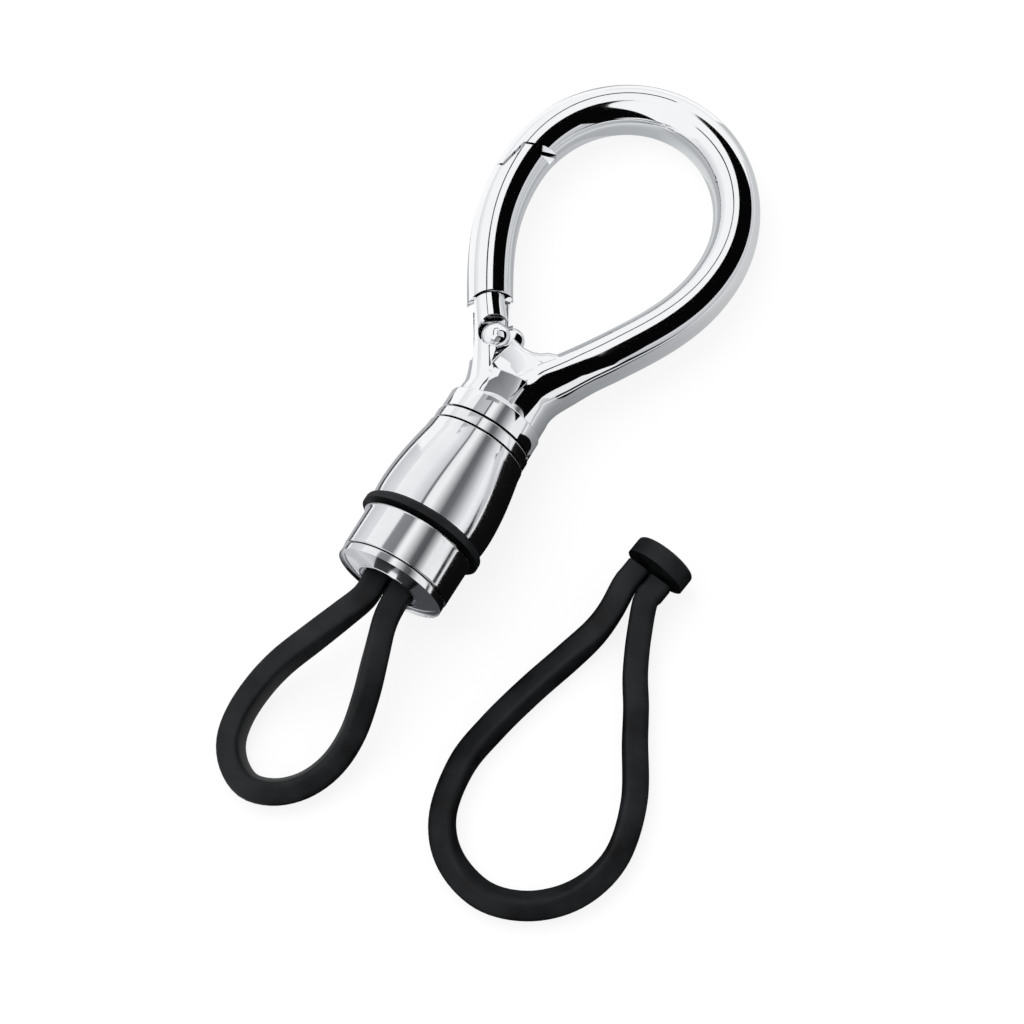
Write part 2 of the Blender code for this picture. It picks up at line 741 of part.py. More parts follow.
def make_rivet():
    head_under = SINK_FLOOR + SEAT_GAP
    head = rounded(RIVET_HEAD_RADIUS, head_under + RIVET_DOME, RIVET_HEAD_RADIUS, RIVET_DOME, steps=4)
    upper = head + [(RIVET_RADIUS, head_under)]
    profile = upper + [(radius, -place) for radius, place in upper[::-1]]
    rivet = turned("hinge_rivet", profile, SMALL_STEPS, ring=False)
    rivet.rotation_euler.x = 0.0
    rivet.location = RIVET
    return rivet


def make_spring():
    """A torsion spring beside the gate's tongue, with one leg on the gate and one on the hook."""
    floor = -(SLOT_WIDTH / 2 - SEAT_GAP - TONGUE_THICKNESS)
    low = floor + SEAT_GAP + SPRING_WIRE / 2
    count = round(SPRING_CURL_POINTS * SPRING_TURNS)
    way = angle_from_rivet(RIVET + ARM_WAY)
    points = []
    for index in range(count + 1):
        turn = index / SPRING_CURL_POINTS
        angle = way - math.pi / 2 - 2 * math.pi * (SPRING_TURNS - turn)
        points.append(
            Vector((math.cos(angle), math.sin(angle), 0)) * SPRING_RADIUS
            + Vector((0, 0, low + SPRING_PITCH * turn))
        )
    last = points[-1]
    gate_leg = [last + ARM_WAY * (SPRING_RADIUS * share) for share in GATE_LEG_SHARES]
    first_way = (points[0] - points[1]).normalized()
    hook_leg = [points[0] + first_way * (SPRING_RADIUS * share) for share in HOOK_LEG_SHARES]
    points = hook_leg + points + gate_leg
    walked = [
        start.lerp(end, step / ROUTE_STEPS)
        for start, end in zip(points, points[1:])
        for step in range(ROUTE_STEPS)
    ]
    apart = SPRING_CURL_POINTS * ROUTE_STEPS // 3
    least = min(
        (near - far).length for index, near in enumerate(walked) for far in walked[index + apart :]
    )
    print(f"gate_spring: the least gap to itself is {(least - SPRING_WIRE) / MM:.2f} mm")
    spring = curve("gate_spring", points)
    spring.data.bevel_depth = SPRING_WIRE / 2
    spring.data.bevel_resolution = 1
    spring.data.use_fill_caps = True
    spring.location = RIVET
    return spring


def flipped(profile, top, foot):
    """The same rounded corner, at the foot of a piece."""
    return [(radius, top + foot - place) for radius, place in profile[::-1]]


def make_barrel():
    ring_round = SHELL_ROUND / 2
    bore = BOSS_RADIUS + BOSS_CLEARANCE
    ring_corner = rounded(SWIVEL_RING_RADIUS, SWIVEL_RING_TOP, ring_round, ring_round, steps=2)
    swivel_ring = turned(
        "swivel_ring",
        [
            *ring_corner,
            *flipped(ring_corner, SWIVEL_RING_TOP, SWIVEL_RING_FOOT),
            (bore, SWIVEL_RING_FOOT),
            (bore, SWIVEL_RING_TOP),
        ],
        TURN_STEPS,
    )
    belly = []
    for step in range(1, BELLY_STEPS + 1):
        share = step / BELLY_STEPS
        swell = math.sin(math.pi / 2 * min(1.0, share / BELLY_SHARE))
        radius = SHELL_TOP_RADIUS + (SHELL_BELLY_RADIUS - SHELL_TOP_RADIUS) * swell
        if step == BELLY_STEPS:
            radius = SHELL_FOOT_RADIUS
        belly.append((radius, SHELL_TOP - SHELL_ROUND - (SHELL_LENGTH - SHELL_ROUND) * share))
    shell = turned(
        "barrel_shell",
        [
            *rounded(SHELL_TOP_RADIUS, SHELL_TOP, SHELL_ROUND, SHELL_ROUND),
            *belly,
            (CAVITY_RADIUS, SHELL_FOOT),
            (CAVITY_RADIUS, CEILING_FOOT),
            (bore, CEILING_FOOT),
            (bore, SHELL_TOP),
        ],
        TURN_STEPS,
    )
    band = turned("band_ring", band_profile(), TURN_STEPS)
    recess = RIM_PLUG_RADIUS + BORE_CLEARANCE
    recess_top = CAP_FOOT + RIM_PLUG_LENGTH + SEAT_GAP
    edge = SHELL_ROUND / 2
    cap = turned(
        "cap_sleeve",
        [
            (THREAD_RADIUS, THREAD_TOP),
            (THREAD_RADIUS, CAP_TOP),
            *rounded(CAP_TOP_RADIUS, CAP_TOP, edge, edge, steps=2),
            *flipped(rounded(CAP_FOOT_RADIUS, CAP_TOP, edge, edge, steps=2), CAP_TOP, CAP_FOOT),
            (recess, CAP_FOOT),
            (recess, recess_top),
            (HOLE_RADIUS, recess_top),
            (HOLE_RADIUS, THREAD_TOP),
        ],
        TURN_STEPS,
    )
    plug_top = RIM_TOP + RIM_PLUG_LENGTH
    rim = turned(
        "end_ring",
        [
            (RIM_PLUG_RADIUS, plug_top),
            (RIM_PLUG_RADIUS, RIM_TOP),
            *rounded(RIM_RADIUS, RIM_TOP, edge, edge, steps=2),
            *flipped(rounded(RIM_RADIUS, RIM_TOP, RIM_ROUND, RIM_ROUND, steps=4), RIM_TOP, RIM_FOOT),
            *[
                (2 * HOLE_RADIUS + HOLE_ROUND - radius, place)
                for radius, place in flipped(
                    rounded(HOLE_RADIUS + HOLE_ROUND, RIM_TOP, HOLE_ROUND, HOLE_ROUND, steps=2),
                    RIM_TOP,
                    RIM_FOOT,
                )[::-1]
            ],
            (HOLE_RADIUS, plug_top),
        ],
        TURN_STEPS,
    )
    return swivel_ring, shell, band, cap, rim


def make_screw():
    washer_bore = SCREW_RADIUS + BORE_CLEARANCE
    washer = turned(
        "thrust_washer",
        [
            (WASHER_RADIUS, WASHER_TOP),
            (WASHER_RADIUS, WASHER_FOOT),
            (washer_bore, WASHER_FOOT),
            (washer_bore, WASHER_TOP),
        ],
        SMALL_STEPS,
    )
    dome = rounded(SCREW_HEAD_RADIUS, HEAD_TOP, SCREW_HEAD_RADIUS / 2, SCREW_HEAD_HEIGHT / 2)
    screw = turned(
        "swivel_screw",
        [
            (0, HEAD_TOP + SCREW_GRIP),
            (SCREW_RADIUS, HEAD_TOP + SCREW_GRIP),
            (SCREW_RADIUS, HEAD_TOP),
            (SCREW_HEAD_RADIUS, HEAD_TOP),
            *flipped(dome, HEAD_TOP, HEAD_FOOT),
            (0, HEAD_FOOT),
        ],
        SMALL_STEPS,
        ring=False,
    )
    return washer, screw


def stopper(name, top):
    corner = rounded(STOPPER_RADIUS, top, STOPPER_ROUND, STOPPER_ROUND, steps=2)
    return turned(
        name,
        [(0, top), *corner, *flipped(corner, top, top - STOPPER_THICKNESS), (0, top - STOPPER_THICKNESS)],
        SMALL_STEPS,
        ring=False,
    )


def make_loop():
    """The fitted loop: both its strands run from the stopper down through the end ring's hole."""
    laid = Matrix.Translation((0, AXIS_START_Y, AXIS_HEIGHT)) @ Matrix.Rotation(-TILT, 4, "X")
    hole = laid @ Vector((0, RIM_FOOT, 0))
    start = STOPPER_FOOT - SEAT_GAP
    inner = [start, (start * 2 + RIM_FOOT) / 3, (start + RIM_FOOT * 2) / 3, RIM_FOOT]
    left = [laid @ Vector((-STRAND_X, place, 0)) for place in inner]
    right = [laid @ Vector((STRAND_X, place, 0)) for place in inner[::-1]]
    free = [
        Vector((hole.x + x * MM, hole.y + y * MM, CORD_LIFT + (hole.z - CORD_LIFT) * share))
        for x, y, share in LOOP_ROUTE
    ]
    return cord("loop_cord", left + free + right), stopper("loop_stopper", STOPPER_TOP)


def make_spare():
    face = Vector((SPARE_STOPPER_X, SPARE_STOPPER_Y, STOPPER_RADIUS))
    turn = Matrix.Rotation(SPARE_TURN, 3, "Z")
    ends = [
        [face + turn @ Vector((share * STRAND_X, -SEAT_GAP * lead, 0)) for lead in STRAIGHT_START_SHARES]
        for share in (-SPARE_LEFT_SHARE, SPARE_RIGHT_SHARE)
    ]
    free = [
        Vector((face.x + x * MM, face.y + y * MM, CORD_LIFT + (face.z - CORD_LIFT) * share))
        for x, y, share in SPARE_ROUTE
    ]
    disc = stopper("spare_stopper", STOPPER_THICKNESS)
    disc.location = face
    disc.rotation_euler.z = SPARE_TURN
    return cord("spare_cord", ends[0] + free + ends[1][::-1]), disc


def main():
    clear_scene()
    parts = collection("carabiner_keychain")
    helpers = collection("cutters", hidden=True)
    stand = bpy.data.objects.new("stand", None)
    stand.location = (0, AXIS_START_Y, AXIS_HEIGHT)
    stand.rotation_euler.x = -TILT
    parts.objects.link(stand)

    frame, section, gate_side = make_frame(helpers, stand)
    gate = make_gate(section, gate_side, helpers, stand)
    keep(section, helpers, stand)
    section.hide_render = True
    rivet = make_rivet()
    spring = make_spring()
    swivel_ring, shell, band, cap, rim = make_barrel()
    washer, screw = make_screw()
    loop, loop_disc = make_loop()
    spare, spare_disc = make_spare()

    chrome = (frame, gate, rivet, swivel_ring, shell, cap, rim)
    steel = (spring, washer, screw)
    rubber = (band, loop, loop_disc, spare, spare_disc)
    for group, colour, metallic, roughness in (
        (chrome, CHROME, 1.0, 0.08),
        (steel, STEEL, 1.0, 0.3),
        (rubber, RUBBER, 0.0, 0.55),
    ):
        for obj in group:
            obj.data.materials.clear()
            obj.data.materials.append(material(obj.name + "_finish", colour, metallic, roughness))
            keep(obj, parts, None if obj in (loop, spare, spare_disc) else stand)


main()
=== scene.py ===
"""Carabiner keychain: the looks of a chromed ring hook on a swivelling barrel, with two rubber cord loops.

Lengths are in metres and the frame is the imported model's: it lies on a surface, +Z is up, and +Y
runs along the barrel towards the ring's far end. The metal pieces are drawn flat, with the barrel's
axis along Y, and are then laid down onto the frame's own swivel axis.
"""

import json
import math

import bmesh
import bpy
from mathutils import Matrix, Vector


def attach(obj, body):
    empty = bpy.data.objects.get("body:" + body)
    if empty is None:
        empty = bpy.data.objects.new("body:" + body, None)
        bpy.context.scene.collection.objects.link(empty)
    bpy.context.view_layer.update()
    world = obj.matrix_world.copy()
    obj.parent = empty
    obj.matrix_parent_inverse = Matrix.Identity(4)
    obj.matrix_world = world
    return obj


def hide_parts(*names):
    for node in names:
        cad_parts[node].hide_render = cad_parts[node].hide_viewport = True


bl_info = {
    "name": "Carabiner keychain",
    "version": (1, 0, 0),
    "blender": (4, 5, 0),
    "location": "View3D > Sidebar > Keychain",
    "description": "Builds a chromed ring hook on a swivelling barrel with rubber cord loops",
    "category": "Object",
}

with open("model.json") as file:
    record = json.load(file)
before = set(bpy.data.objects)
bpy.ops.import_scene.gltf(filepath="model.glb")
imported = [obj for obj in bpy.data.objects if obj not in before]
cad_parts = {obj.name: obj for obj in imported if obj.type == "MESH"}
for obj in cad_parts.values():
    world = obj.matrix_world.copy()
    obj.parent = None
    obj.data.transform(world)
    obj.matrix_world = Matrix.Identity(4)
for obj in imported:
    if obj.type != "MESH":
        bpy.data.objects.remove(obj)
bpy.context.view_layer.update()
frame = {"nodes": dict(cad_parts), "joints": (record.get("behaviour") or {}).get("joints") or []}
SWIVEL = next(joint for joint in frame["joints"] if joint["name"] == "barrel_swivel")
TILT = math.atan2(SWIVEL["axis"][2], -SWIVEL["axis"][1])
LAID = Matrix.Translation(SWIVEL["pos_m"]) @ Matrix.Rotation(-TILT, 4, "X")

MM = 0.001

# Ring, measured on the centre line of its section
RING_HALF_WIDTH = 14.75 * MM
RING_WIDEST_Y = 35.3 * MM
RING_TOP_Y = 51.6 * MM
ARM = Vector((8.3, 17.5, 0)) * MM
ARM_SLOPE = math.radians(30.2)
WIDE_HANDLE_SHARE = 0.42
ARM_HANDLE_SHARE = 0.335
WEB_FOOT = 5.0 * MM
# The solid arm and the hinge's stub, down to the neck: across, along, in mm, and girth
ARM_ROUTE = [
    (8.3, 17.5, 1.0), (6.52, 14.63, 1.0), (4.85, 11.8, 1.06), (3.3, 9.3, 1.16), (2.25, 7.1, 1.33),
    (1.85, 5.0, 1.41), (1.8, 3.4, 1.43), (1.8, 2.1, 1.43),
]
STUB_HALF_WIDTH = 2.65 * MM
STUB_HALF_HEIGHT = 3.35 * MM
STUB_ROUTE = [
    (-9.8, 18.2, 0.9), (-8.45, 15.9, 0.92), (-5.95, 12.3, 1.0), (-4.45, 9.8, 1.06), (-3.2, 7.6, 1.18),
    (-2.3, 5.6, 1.34), (-2.0, 3.9, 1.42), (-2.0, 2.1, 1.44),
]
HALF_WIDTH = 3.05 * MM
HALF_HEIGHT = 3.5 * MM
SECTION_POWER = 2.35
GATE_BOW = 0.85 * MM
GATE_PROUD = 0.1 * MM
GATE_SLIM_SHARE = 0.05

# Nose, gate and hinge
NOSE_RADIUS = 27.1 * MM
LIP_LENGTH = 4.0 * MM
LIP_ROOT = 2.3 * MM
LIP_TIP = 1.4 * MM
GATE_GAP = 0.3 * MM
GATE_UNDERCUT = 1.3 * MM
RIVET = Vector((-5.15, 11.9, 0)) * MM
CHEEK_RADIUS = 5.8 * MM
CHEEK_SPREAD = math.radians(70)
SLOT_WIDTH = 4.2 * MM
SLOT_RADIUS = 4.4 * MM
TONGUE_THICKNESS = 1.6 * MM
EYE_RADIUS = 2.25 * MM
EYE_CLEARANCE = 0.25 * MM
TONGUE_ROOT_SHARE = 0.8
HEEL_REACH = 3.9 * MM
HEEL_RADIUS = 1.7 * MM
HEEL_ANGLE = math.radians(48)
HEEL_THICKNESS = 2.0 * MM
HEEL_ROUND = 0.7 * MM
RIVET_RADIUS = 0.95 * MM
RIVET_CLEARANCE = 0.2 * MM
RIVET_HEAD_RADIUS = 1.85 * MM
RIVET_DOME = 1.15 * MM
SINK_RADIUS = 2.35 * MM
SINK_DEPTH = 1.5 * MM
SINK_FLOOR_RADIUS = 2.25 * MM
SINK_SHIFT = Vector((-0.2, 0.35, 0)) * MM
POCKET_FLOOR = 1.8 * MM
SEAT_GAP = 0.3 * MM

# Neck, collar and barrel: places along the axis from the swivel gap
COLLAR_RADIUS = 6.45 * MM
COLLAR_FOOT = 0.12 * MM
COLLAR_TOP = 3.1 * MM
COLLAR_ROUND = 0.5 * MM
TURNED_ROUND = 0.15 * MM
NECK_RADIUS = 5.85 * MM
DRUM_RADIUS = 5.0 * MM
NECK_TOP = 6.5 * MM
FRONT_HEIGHT = 5.05 * MM
SADDLE_HEIGHT = 4.3 * MM
SADDLE_FALL = 0.054 / MM
WEB_TOP = 12.2 * MM
WEB_THICKNESS = 6.2 * MM
WEB_ROUND = 0.6 * MM
FACET_ROUND = 0.15 * MM
BOSS_RADIUS = 2.3 * MM
BOSS_FOOT = -4.4 * MM

CORD_WIDTH = 3.2 * MM
STRAND_X = 1.75 * MM
SURFACE_GAP = 0.05 * MM
STOPPER_RADIUS = 4.2 * MM
STOPPER_THICKNESS = 3.0 * MM
STOPPER_ROUND = 0.5 * MM
SPARE_FACE = Vector((27.3, -19.5, 4.2)) * MM
SPARE_TURN = math.radians(-8)
# Where the spare strands leave their stopper, as shares of the fitted strands' place
SPARE_STRAND_SHARES = (-1.12, 0.8)
# How far from the stopper the strands run straight, in seat gaps
STRAIGHT_LEADS = (1, 6, 11)

# Places along the axis: what lies past the swivel gap is below zero
SWIVEL_RING_TOP = -0.05 * MM
SWIVEL_RING_FOOT = -1.68 * MM
SHELL_TOP = -1.82 * MM
SHELL_FOOT = -14.4 * MM
STOPPER_TOP = -6.95 * MM
STOPPER_FOOT = -9.95 * MM
BAND_TOP = -14.6 * MM
BAND_FOOT = -16.1 * MM
CAP_TOP = -16.3 * MM
CAP_FOOT = -21.9 * MM
THREAD_TOP = -10.0 * MM
RIM_TOP = -22.02 * MM
RIM_FOOT = -23.6 * MM
# Radii and wall sizes of the turned pieces, from the top of the barrel to its end
BOSS_BORE = 2.6 * MM
SWIVEL_RING_RADIUS = 6.6 * MM
SHELL_TOP_RADIUS = 6.75 * MM
SHELL_SWELL = 1.2 * MM
SHELL_FALL = 0.2 * MM
SHELL_FOOT_RADIUS = 7.75 * MM
SHELL_BORE = 5.3 * MM
SHELL_CEILING = 2.2 * MM
SHELL_SHOULDER = 0.55 * MM
BELLY_SHARE = 0.8
BELLY_STEPS = 24
BAND_RADIUS = 8.35 * MM
BAND_BORE = 5.25 * MM
BAND_ROUND = 0.4 * MM
CAP_TOP_RADIUS = 8.0 * MM
CAP_FOOT_RADIUS = 7.4 * MM
CAP_ROUND = 0.25 * MM
THREAD_RADIUS = 5.0 * MM
HOLE_RADIUS = 3.75 * MM
RECESS_RADIUS = 5.45 * MM
RECESS_DEPTH = 1.8 * MM
RIM_RADIUS = 7.35 * MM
RIM_ROUND = 0.27 * MM
RIM_FOOT_ROUND = 0.5 * MM
RIM_HOLE_ROUND = 0.4 * MM
PLUG_RADIUS = 5.2 * MM
PLUG_LENGTH = 1.5 * MM

# The fitted loop past its hole: across and along from the hole, in mm, and how much of the hole's
# height above a cord laid on the surface is left there
LOOP_ROUTE = [
    (-1.8, -2.6, 1.01), (-3.0, -5.8, 0.95), (-4.9, -10.0, 0.77), (-7.0, -14.3, 0.49),
    (-8.15, -18.2, 0.26), (-8.5, -22.2, 0.08), (-7.75, -25.6, 0.01), (-5.7, -28.1, 0.0),
    (-2.8, -29.3, 0.0), (0.5, -28.2, 0.0), (3.2, -25.5, 0.02), (4.8, -21.8, 0.10),
    (5.2, -17.6, 0.30), (4.5, -13.0, 0.59), (3.2, -8.2, 0.85), (2.0, -3.8, 1.0),
]
# The spare loop past its stopper, measured from the stopper's near face in the same way
SPARE_ROUTE = [
    (-2.35, -6.4, 0.62), (-2.8, -9.8, 0.3), (-4.1, -14.1, 0.04), (-6.1, -20.3, 0.0),
    (-7.75, -26.7, 0.0), (-8.65, -32.9, 0.0), (-7.4, -39.6, 0.0), (-3.7, -44.0, 0.0),
    (2.1, -45.8, 0.0), (7.8, -44.0, 0.0), (12.1, -39.6, 0.0), (13.9, -33.4, 0.0),
    (12.35, -26.15, 0.0), (8.55, -19.25, 0.0), (6.5, -15.4, 0.0), (4.6, -12.3, 0.06),
    (3.3, -9.7, 0.22), (2.2, -7.1, 0.5),
]
# How the cords' square section rolls along each loop: share of the length, and turn in radians
LOOP_ROLL = [(0, 0), (0.15, 0), (0.27, 0.35), (0.5, 0.45), (0.73, 0.3), (0.85, 0), (1, 0)]
SPARE_ROLL = [
    (0, 0), (0.06, 0), (0.14, 0.4), (0.25, 0.4), (0.36, 0.15), (0.48, 0.75), (0.56, 0.75), (0.7, 0.15),
    (0.94, 0), (1, 0),
]
# How much taller the section stands on its edge
EDGE_GROWTH = 0.21
# The web's top edge, across from the middle and up from its top, as shares of the section's half width
WEB_EDGE_SHARES = [
    (-1.44, 0.26), (-1.02, 0.16), (-0.66, 0.07), (-0.36, 0.0), (0.0, 0.02), (0.33, 0.13), (0.59, 0.33),
    (0.85, 0.42), (1.2, 0.48), (1.5, 0.4),
]

# The step across the gate's free end, under the nose: bearings from the rivet, and reach past the nose
LATCH_FLOOR = 0.9 * MM
LATCH_EDGE = [(98, 0.6), (98, -1.0), (102, -1.15), (105, -1.25), (108, -1.15), (109.5, -0.4), (109.5, 0.6)]
# The flat front of the neck, the flat saddle between the arm and the stub, and the small pocket between
# the rivet and the saddle: across and along, in mm
FRONT_EDGE = [(-2.3, 2.7), (1.0, 2.7), (2.0, 7.55), (-0.2, 7.5), (-2.7, 7.1)]
SADDLE_EDGE = [
    (-3.3, 6.6), (2.0, 6.9), (2.0, 8.3), (2.7, 9.8), (3.7, 11.8), (4.7, 13.5), (3.4, 13.3), (2.1, 12.5),
    (0.85, 11.9), (-0.4, 11.55), (-1.7, 11.7), (-2.6, 12.1), (-2.9, 11.2), (-3.3, 9.6), (-3.5, 8.0),
]
POCKET_EDGE = [(-4.15, 10.25), (-3.55, 7.95), (-2.85, 11.4)]

# How finely the pieces are cut
ROUTE_STEPS = 48
NOSE_STEPS = ROUTE_STEPS + ROUTE_STEPS // 6
SECTION_POINTS = 80
TURN_SEGMENTS = 128
SMALL_SEGMENTS = 72
CUT_STEPS = 64
EASE_STEPS = 6
FAN_STEPS = 8
SOFTEN_SEGMENTS = 4
SOFTEN_ANGLE = math.radians(60)
CORD_STEP = 0.8 * MM
CORD_POINTS = 48
CORD_FULLNESS = 4.5
ARBOR = 1.0 * MM
OVERRUN = 4.0 * MM
WELD = 0.002 * MM
EDGE_ANGLE = math.radians(32)
ROUND_SHARE = 0.5523
# Up along the right arm, and up along the gate's mirrored side
ARM_SIDE = Vector((math.sin(ARM_SLOPE), math.cos(ARM_SLOPE), 0))
ARM_WAY = Vector((-ARM_SIDE.x, ARM_SIDE.y, 0))

# Camera, as the photograph's stood, and the studio round it
AZIMUTH = math.radians(30.304)
ELEVATION = math.radians(73.0)
CAMERA_TARGET = Vector((8.072, -21.762, 6.105)) * MM
CAMERA_DISTANCE = 480 * MM
CAMERA_LENS = 133.5
CLIP_NEAR = 10 * MM
CLIP_FAR = 12000 * MM
DOME_RADIUS = 1500 * MM
BACKLIT_SHARE = 0.85
FLOOR_DEPTH = 0.02 * MM
LAMP_WAY = Vector((-0.45, 0.35, 1.0)).normalized()
# Cards hung far round the object for the chrome to show. Each is a fan of (bearing, near, far) lines in
# degrees: the bearing counts from the picture's right, and the reach from what the ring's flat top shows.
# A card's two shades are its near and its far edge's.
DOME_CARDS = [
    ("black_flag", "060607", "060607", [
        (62, 12, 20), (50, 6, 28), (38, 4, 38), (26, 3, 57), (10, 2, 63), (-10, 2, 66), (-30, 3, 68),
        (-48, 5, 68), (-54, 7, 100), (-62, 12, 122), (-72, 30, 126), (-88, 58, 126), (-100, 80, 126),
        (-112, 100, 126),
    ]),
    ("grey_wall", "dcdde0", "a6a7aa", [
        (40, 62, 106), (26, 57, 106), (10, 63, 106), (-10, 66, 106), (-30, 68, 106), (-48, 68, 106), (-54, 100, 106),
    ]),
    ("pale_wall", "f8f8f9", "c6c7ca", [
        (215, 62, 112), (195, 56, 112), (170, 54, 112), (140, 56, 112), (115, 60, 112), (95, 66, 112),
    ]),
    ("pale_right", "f2f2f3", "cccdd0", [(95, 58, 118), (75, 56, 118), (60, 57, 118), (40, 62, 118)]),
    ("dark_strip", "2c2d30", "2c2d30", [
        (222, 15, 19.5), (180, 10.5, 15), (150, 11, 15.5), (125, 17, 21.5), (105, 24, 29), (90, 26, 31), (70, 27, 32),
    ]),
]
# Level cards just over the barrel and on the floor: height, where they run along the barrel from the
# swivel gap, and their shade at places across it, all in mm. Two shades are the near and the far end's.
LEVEL_CARDS = [
    ("barrel_bounce", 19.4, -13.7, 8.4, [
        (-36, "ffffff"), (-6, "f6f6f7"), (-2.1, "d2d2d5"), (-1.9, "6c6d70"), (-1.5, "6c6d70"), (-1.2, "f6f6f7"),
        (0.4, "fcfcfc"), (3.4, "66676a"), (4.9, "6e6f71"), (10, "dcdcde"), (15, "fafafb"), (36, "dadadc"),
        (38, "0c0c0d"), (600, "0c0c0d"),
    ]),
    ("cap_bounce", 19.4, -27, -13.7, [
        (-36, "ffffff"), (-5.4, "f6f6f7"), (-4.6, "8c8d90"), (-1.5, "828386"), (-0.3, "fcfcfc"), (0.4, "fcfcfc"),
        (3.4, "626365"), (4.9, "545557"), (9, "f0f0f1"), (36, "ffffff"), (38, "0c0c0d"), (600, "0c0c0d"),
    ]),
    ("collar_strip", 19.3, 3.4, 8.4, [(-7.9, "b0b1b4"), (-2.0, "c6c7ca")]),
    ("neck_strip", 19.2, 6.3, 13.5, [(-4.6, "77787b"), (-0.6, "9c9da0"), (0.3, "b4b5b8"), (0.9, "e4e4e6")]),
    ("floor_flag", 0.02, -120, 3, [(1, "0c0c0d"), (12, "0c0c0d"), (150, "0a0a0b")]),
    ("floor_grey", 0.02, 3, 40, [
        (5, "6f7173", "c4c6c7"), (12, "85878a", "cccecf"), (30, "9a9c9e", "d2d3d4"), (200, "b4b5b8", "d8d9da"),
    ]),
    ("floor_pale", 0.02, 40, 160, [(5, "c4c6c7"), (12, "cccecf"), (30, "d2d3d4"), (200, "d8d9da")]),
    ("end_card", 0.04, -40, -23.8, [(-9, "dcdcdf"), (-5, "a9aaae"), (-1, "6a6b6f"), (2, "47484c"), (10, "47484c")]),
    ("ring_floor", 0.02, 12, 60, [(-12, "a9abae"), (-2, "b6b8ba"), (1, "d4d6d7"), (5, "e0e1e2")]),
    ("left_grey", 0.02, -60, 60, [(-18.5, "a9aaad"), (-7, "c9cacd")]),
    ("left_line", 0.02, -60, 8, [(-23.5, "232427"), (-18.6, "232427")]),
]
# Small four-cornered cards: each row's shade, and their corners in rows, across, along and up, in mm
CORNER_CARDS = [
    ("side_flag", ("0c0c0d", "0c0c0d"), [[(12, -60, 0), (12, 4.5, 0)], [(12, -60, 12.6), (12, 4.5, 12.6)]]),
    ("left_wall", ("cfd0d3", "f8f8f9"), [[(-30, -60, 0), (-30, 6, 0)], [(-30, -60, 34), (-30, 6, 34)]]),
    ("rivet_card", ("c6c7ca", "fbfbfc"), [
        [(-4.4, 12.5, 12.5), (-6.2, 14.6, 12.5)], [(-1.2, 13.9, 12.5), (-3.1, 16.4, 12.5)],
    ]),
    ("neck_white", ("f2f2f3", "f2f2f3"), [[(5.2, 2.6, 14.3), (30, 2.6, 14.3)], [(12, 13, 14.3), (30, 13, 14.3)]]),
]


def linear(code):
    """The linear colour of an sRGB hex value."""
    channels = [int(code[place : place + 2], 16) / 255 for place in (0, 2, 4)]
    return (*[c / 12.92 if c <= 0.04045 else ((c + 0.055) / 1.055) ** 2.4 for c in channels], 1.0)


def add(tree, kind, links=(), **settings):
    """Adds a node. Settings are its properties, or its inputs by name; links are (input, output socket) pairs."""
    made = tree.nodes.new(kind)
    for name, value in settings.items():
        if hasattr(made, name):
            setattr(made, name, value)
        else:
            made.inputs[name.replace("_", " ").title()].default_value = value
    for place, socket in links:
        tree.links.new(socket, made.inputs[place])
    return made


def maths(tree, operation, *values):
    """The result of a maths node on sockets or plain numbers."""
    made = add(tree, "ShaderNodeMath", operation=operation)
    for place, value in enumerate(values):
        if isinstance(value, float):
            made.inputs[place].default_value = value
        else:
            tree.links.new(value, made.inputs[place])
    return made.outputs[0]


def new_tree(name, inputs):
    """A Geometry Nodes group with named inputs, and its input and output nodes."""
    tree = bpy.data.node_groups.new(name, "GeometryNodeTree")
    tree.interface.new_socket(name="Geometry", in_out="OUTPUT", socket_type="NodeSocketGeometry")
    tree.interface.new_socket(name="Geometry", in_out="INPUT", socket_type="NodeSocketGeometry")
    for label, kind in (*inputs, ("Finish", "NodeSocketMaterial")):
        tree.interface.new_socket(name=label, in_out="INPUT", socket_type=kind)
    return tree, add(tree, "NodeGroupInput"), add(tree, "NodeGroupOutput")


def finish_tree(tree, given, result, mesh):
    """Ends a tree in Realize Instances and Set Material."""
    real = add(tree, "GeometryNodeRealizeInstances", [("Geometry", mesh)])
    coating = [("Geometry", real.outputs["Geometry"]), ("Material", given.outputs["Finish"])]
    coated = add(tree, "GeometryNodeSetMaterial", coating)
    tree.links.new(coated.outputs["Geometry"], result.inputs["Geometry"])
    return tree


def carried(tree, name):
    """The value that a route carries at each point under this name."""
    made = add(tree, "GeometryNodeInputNamedAttribute", data_type="FLOAT")
    made.inputs["Name"].default_value = name
    return made.outputs["Attribute"]


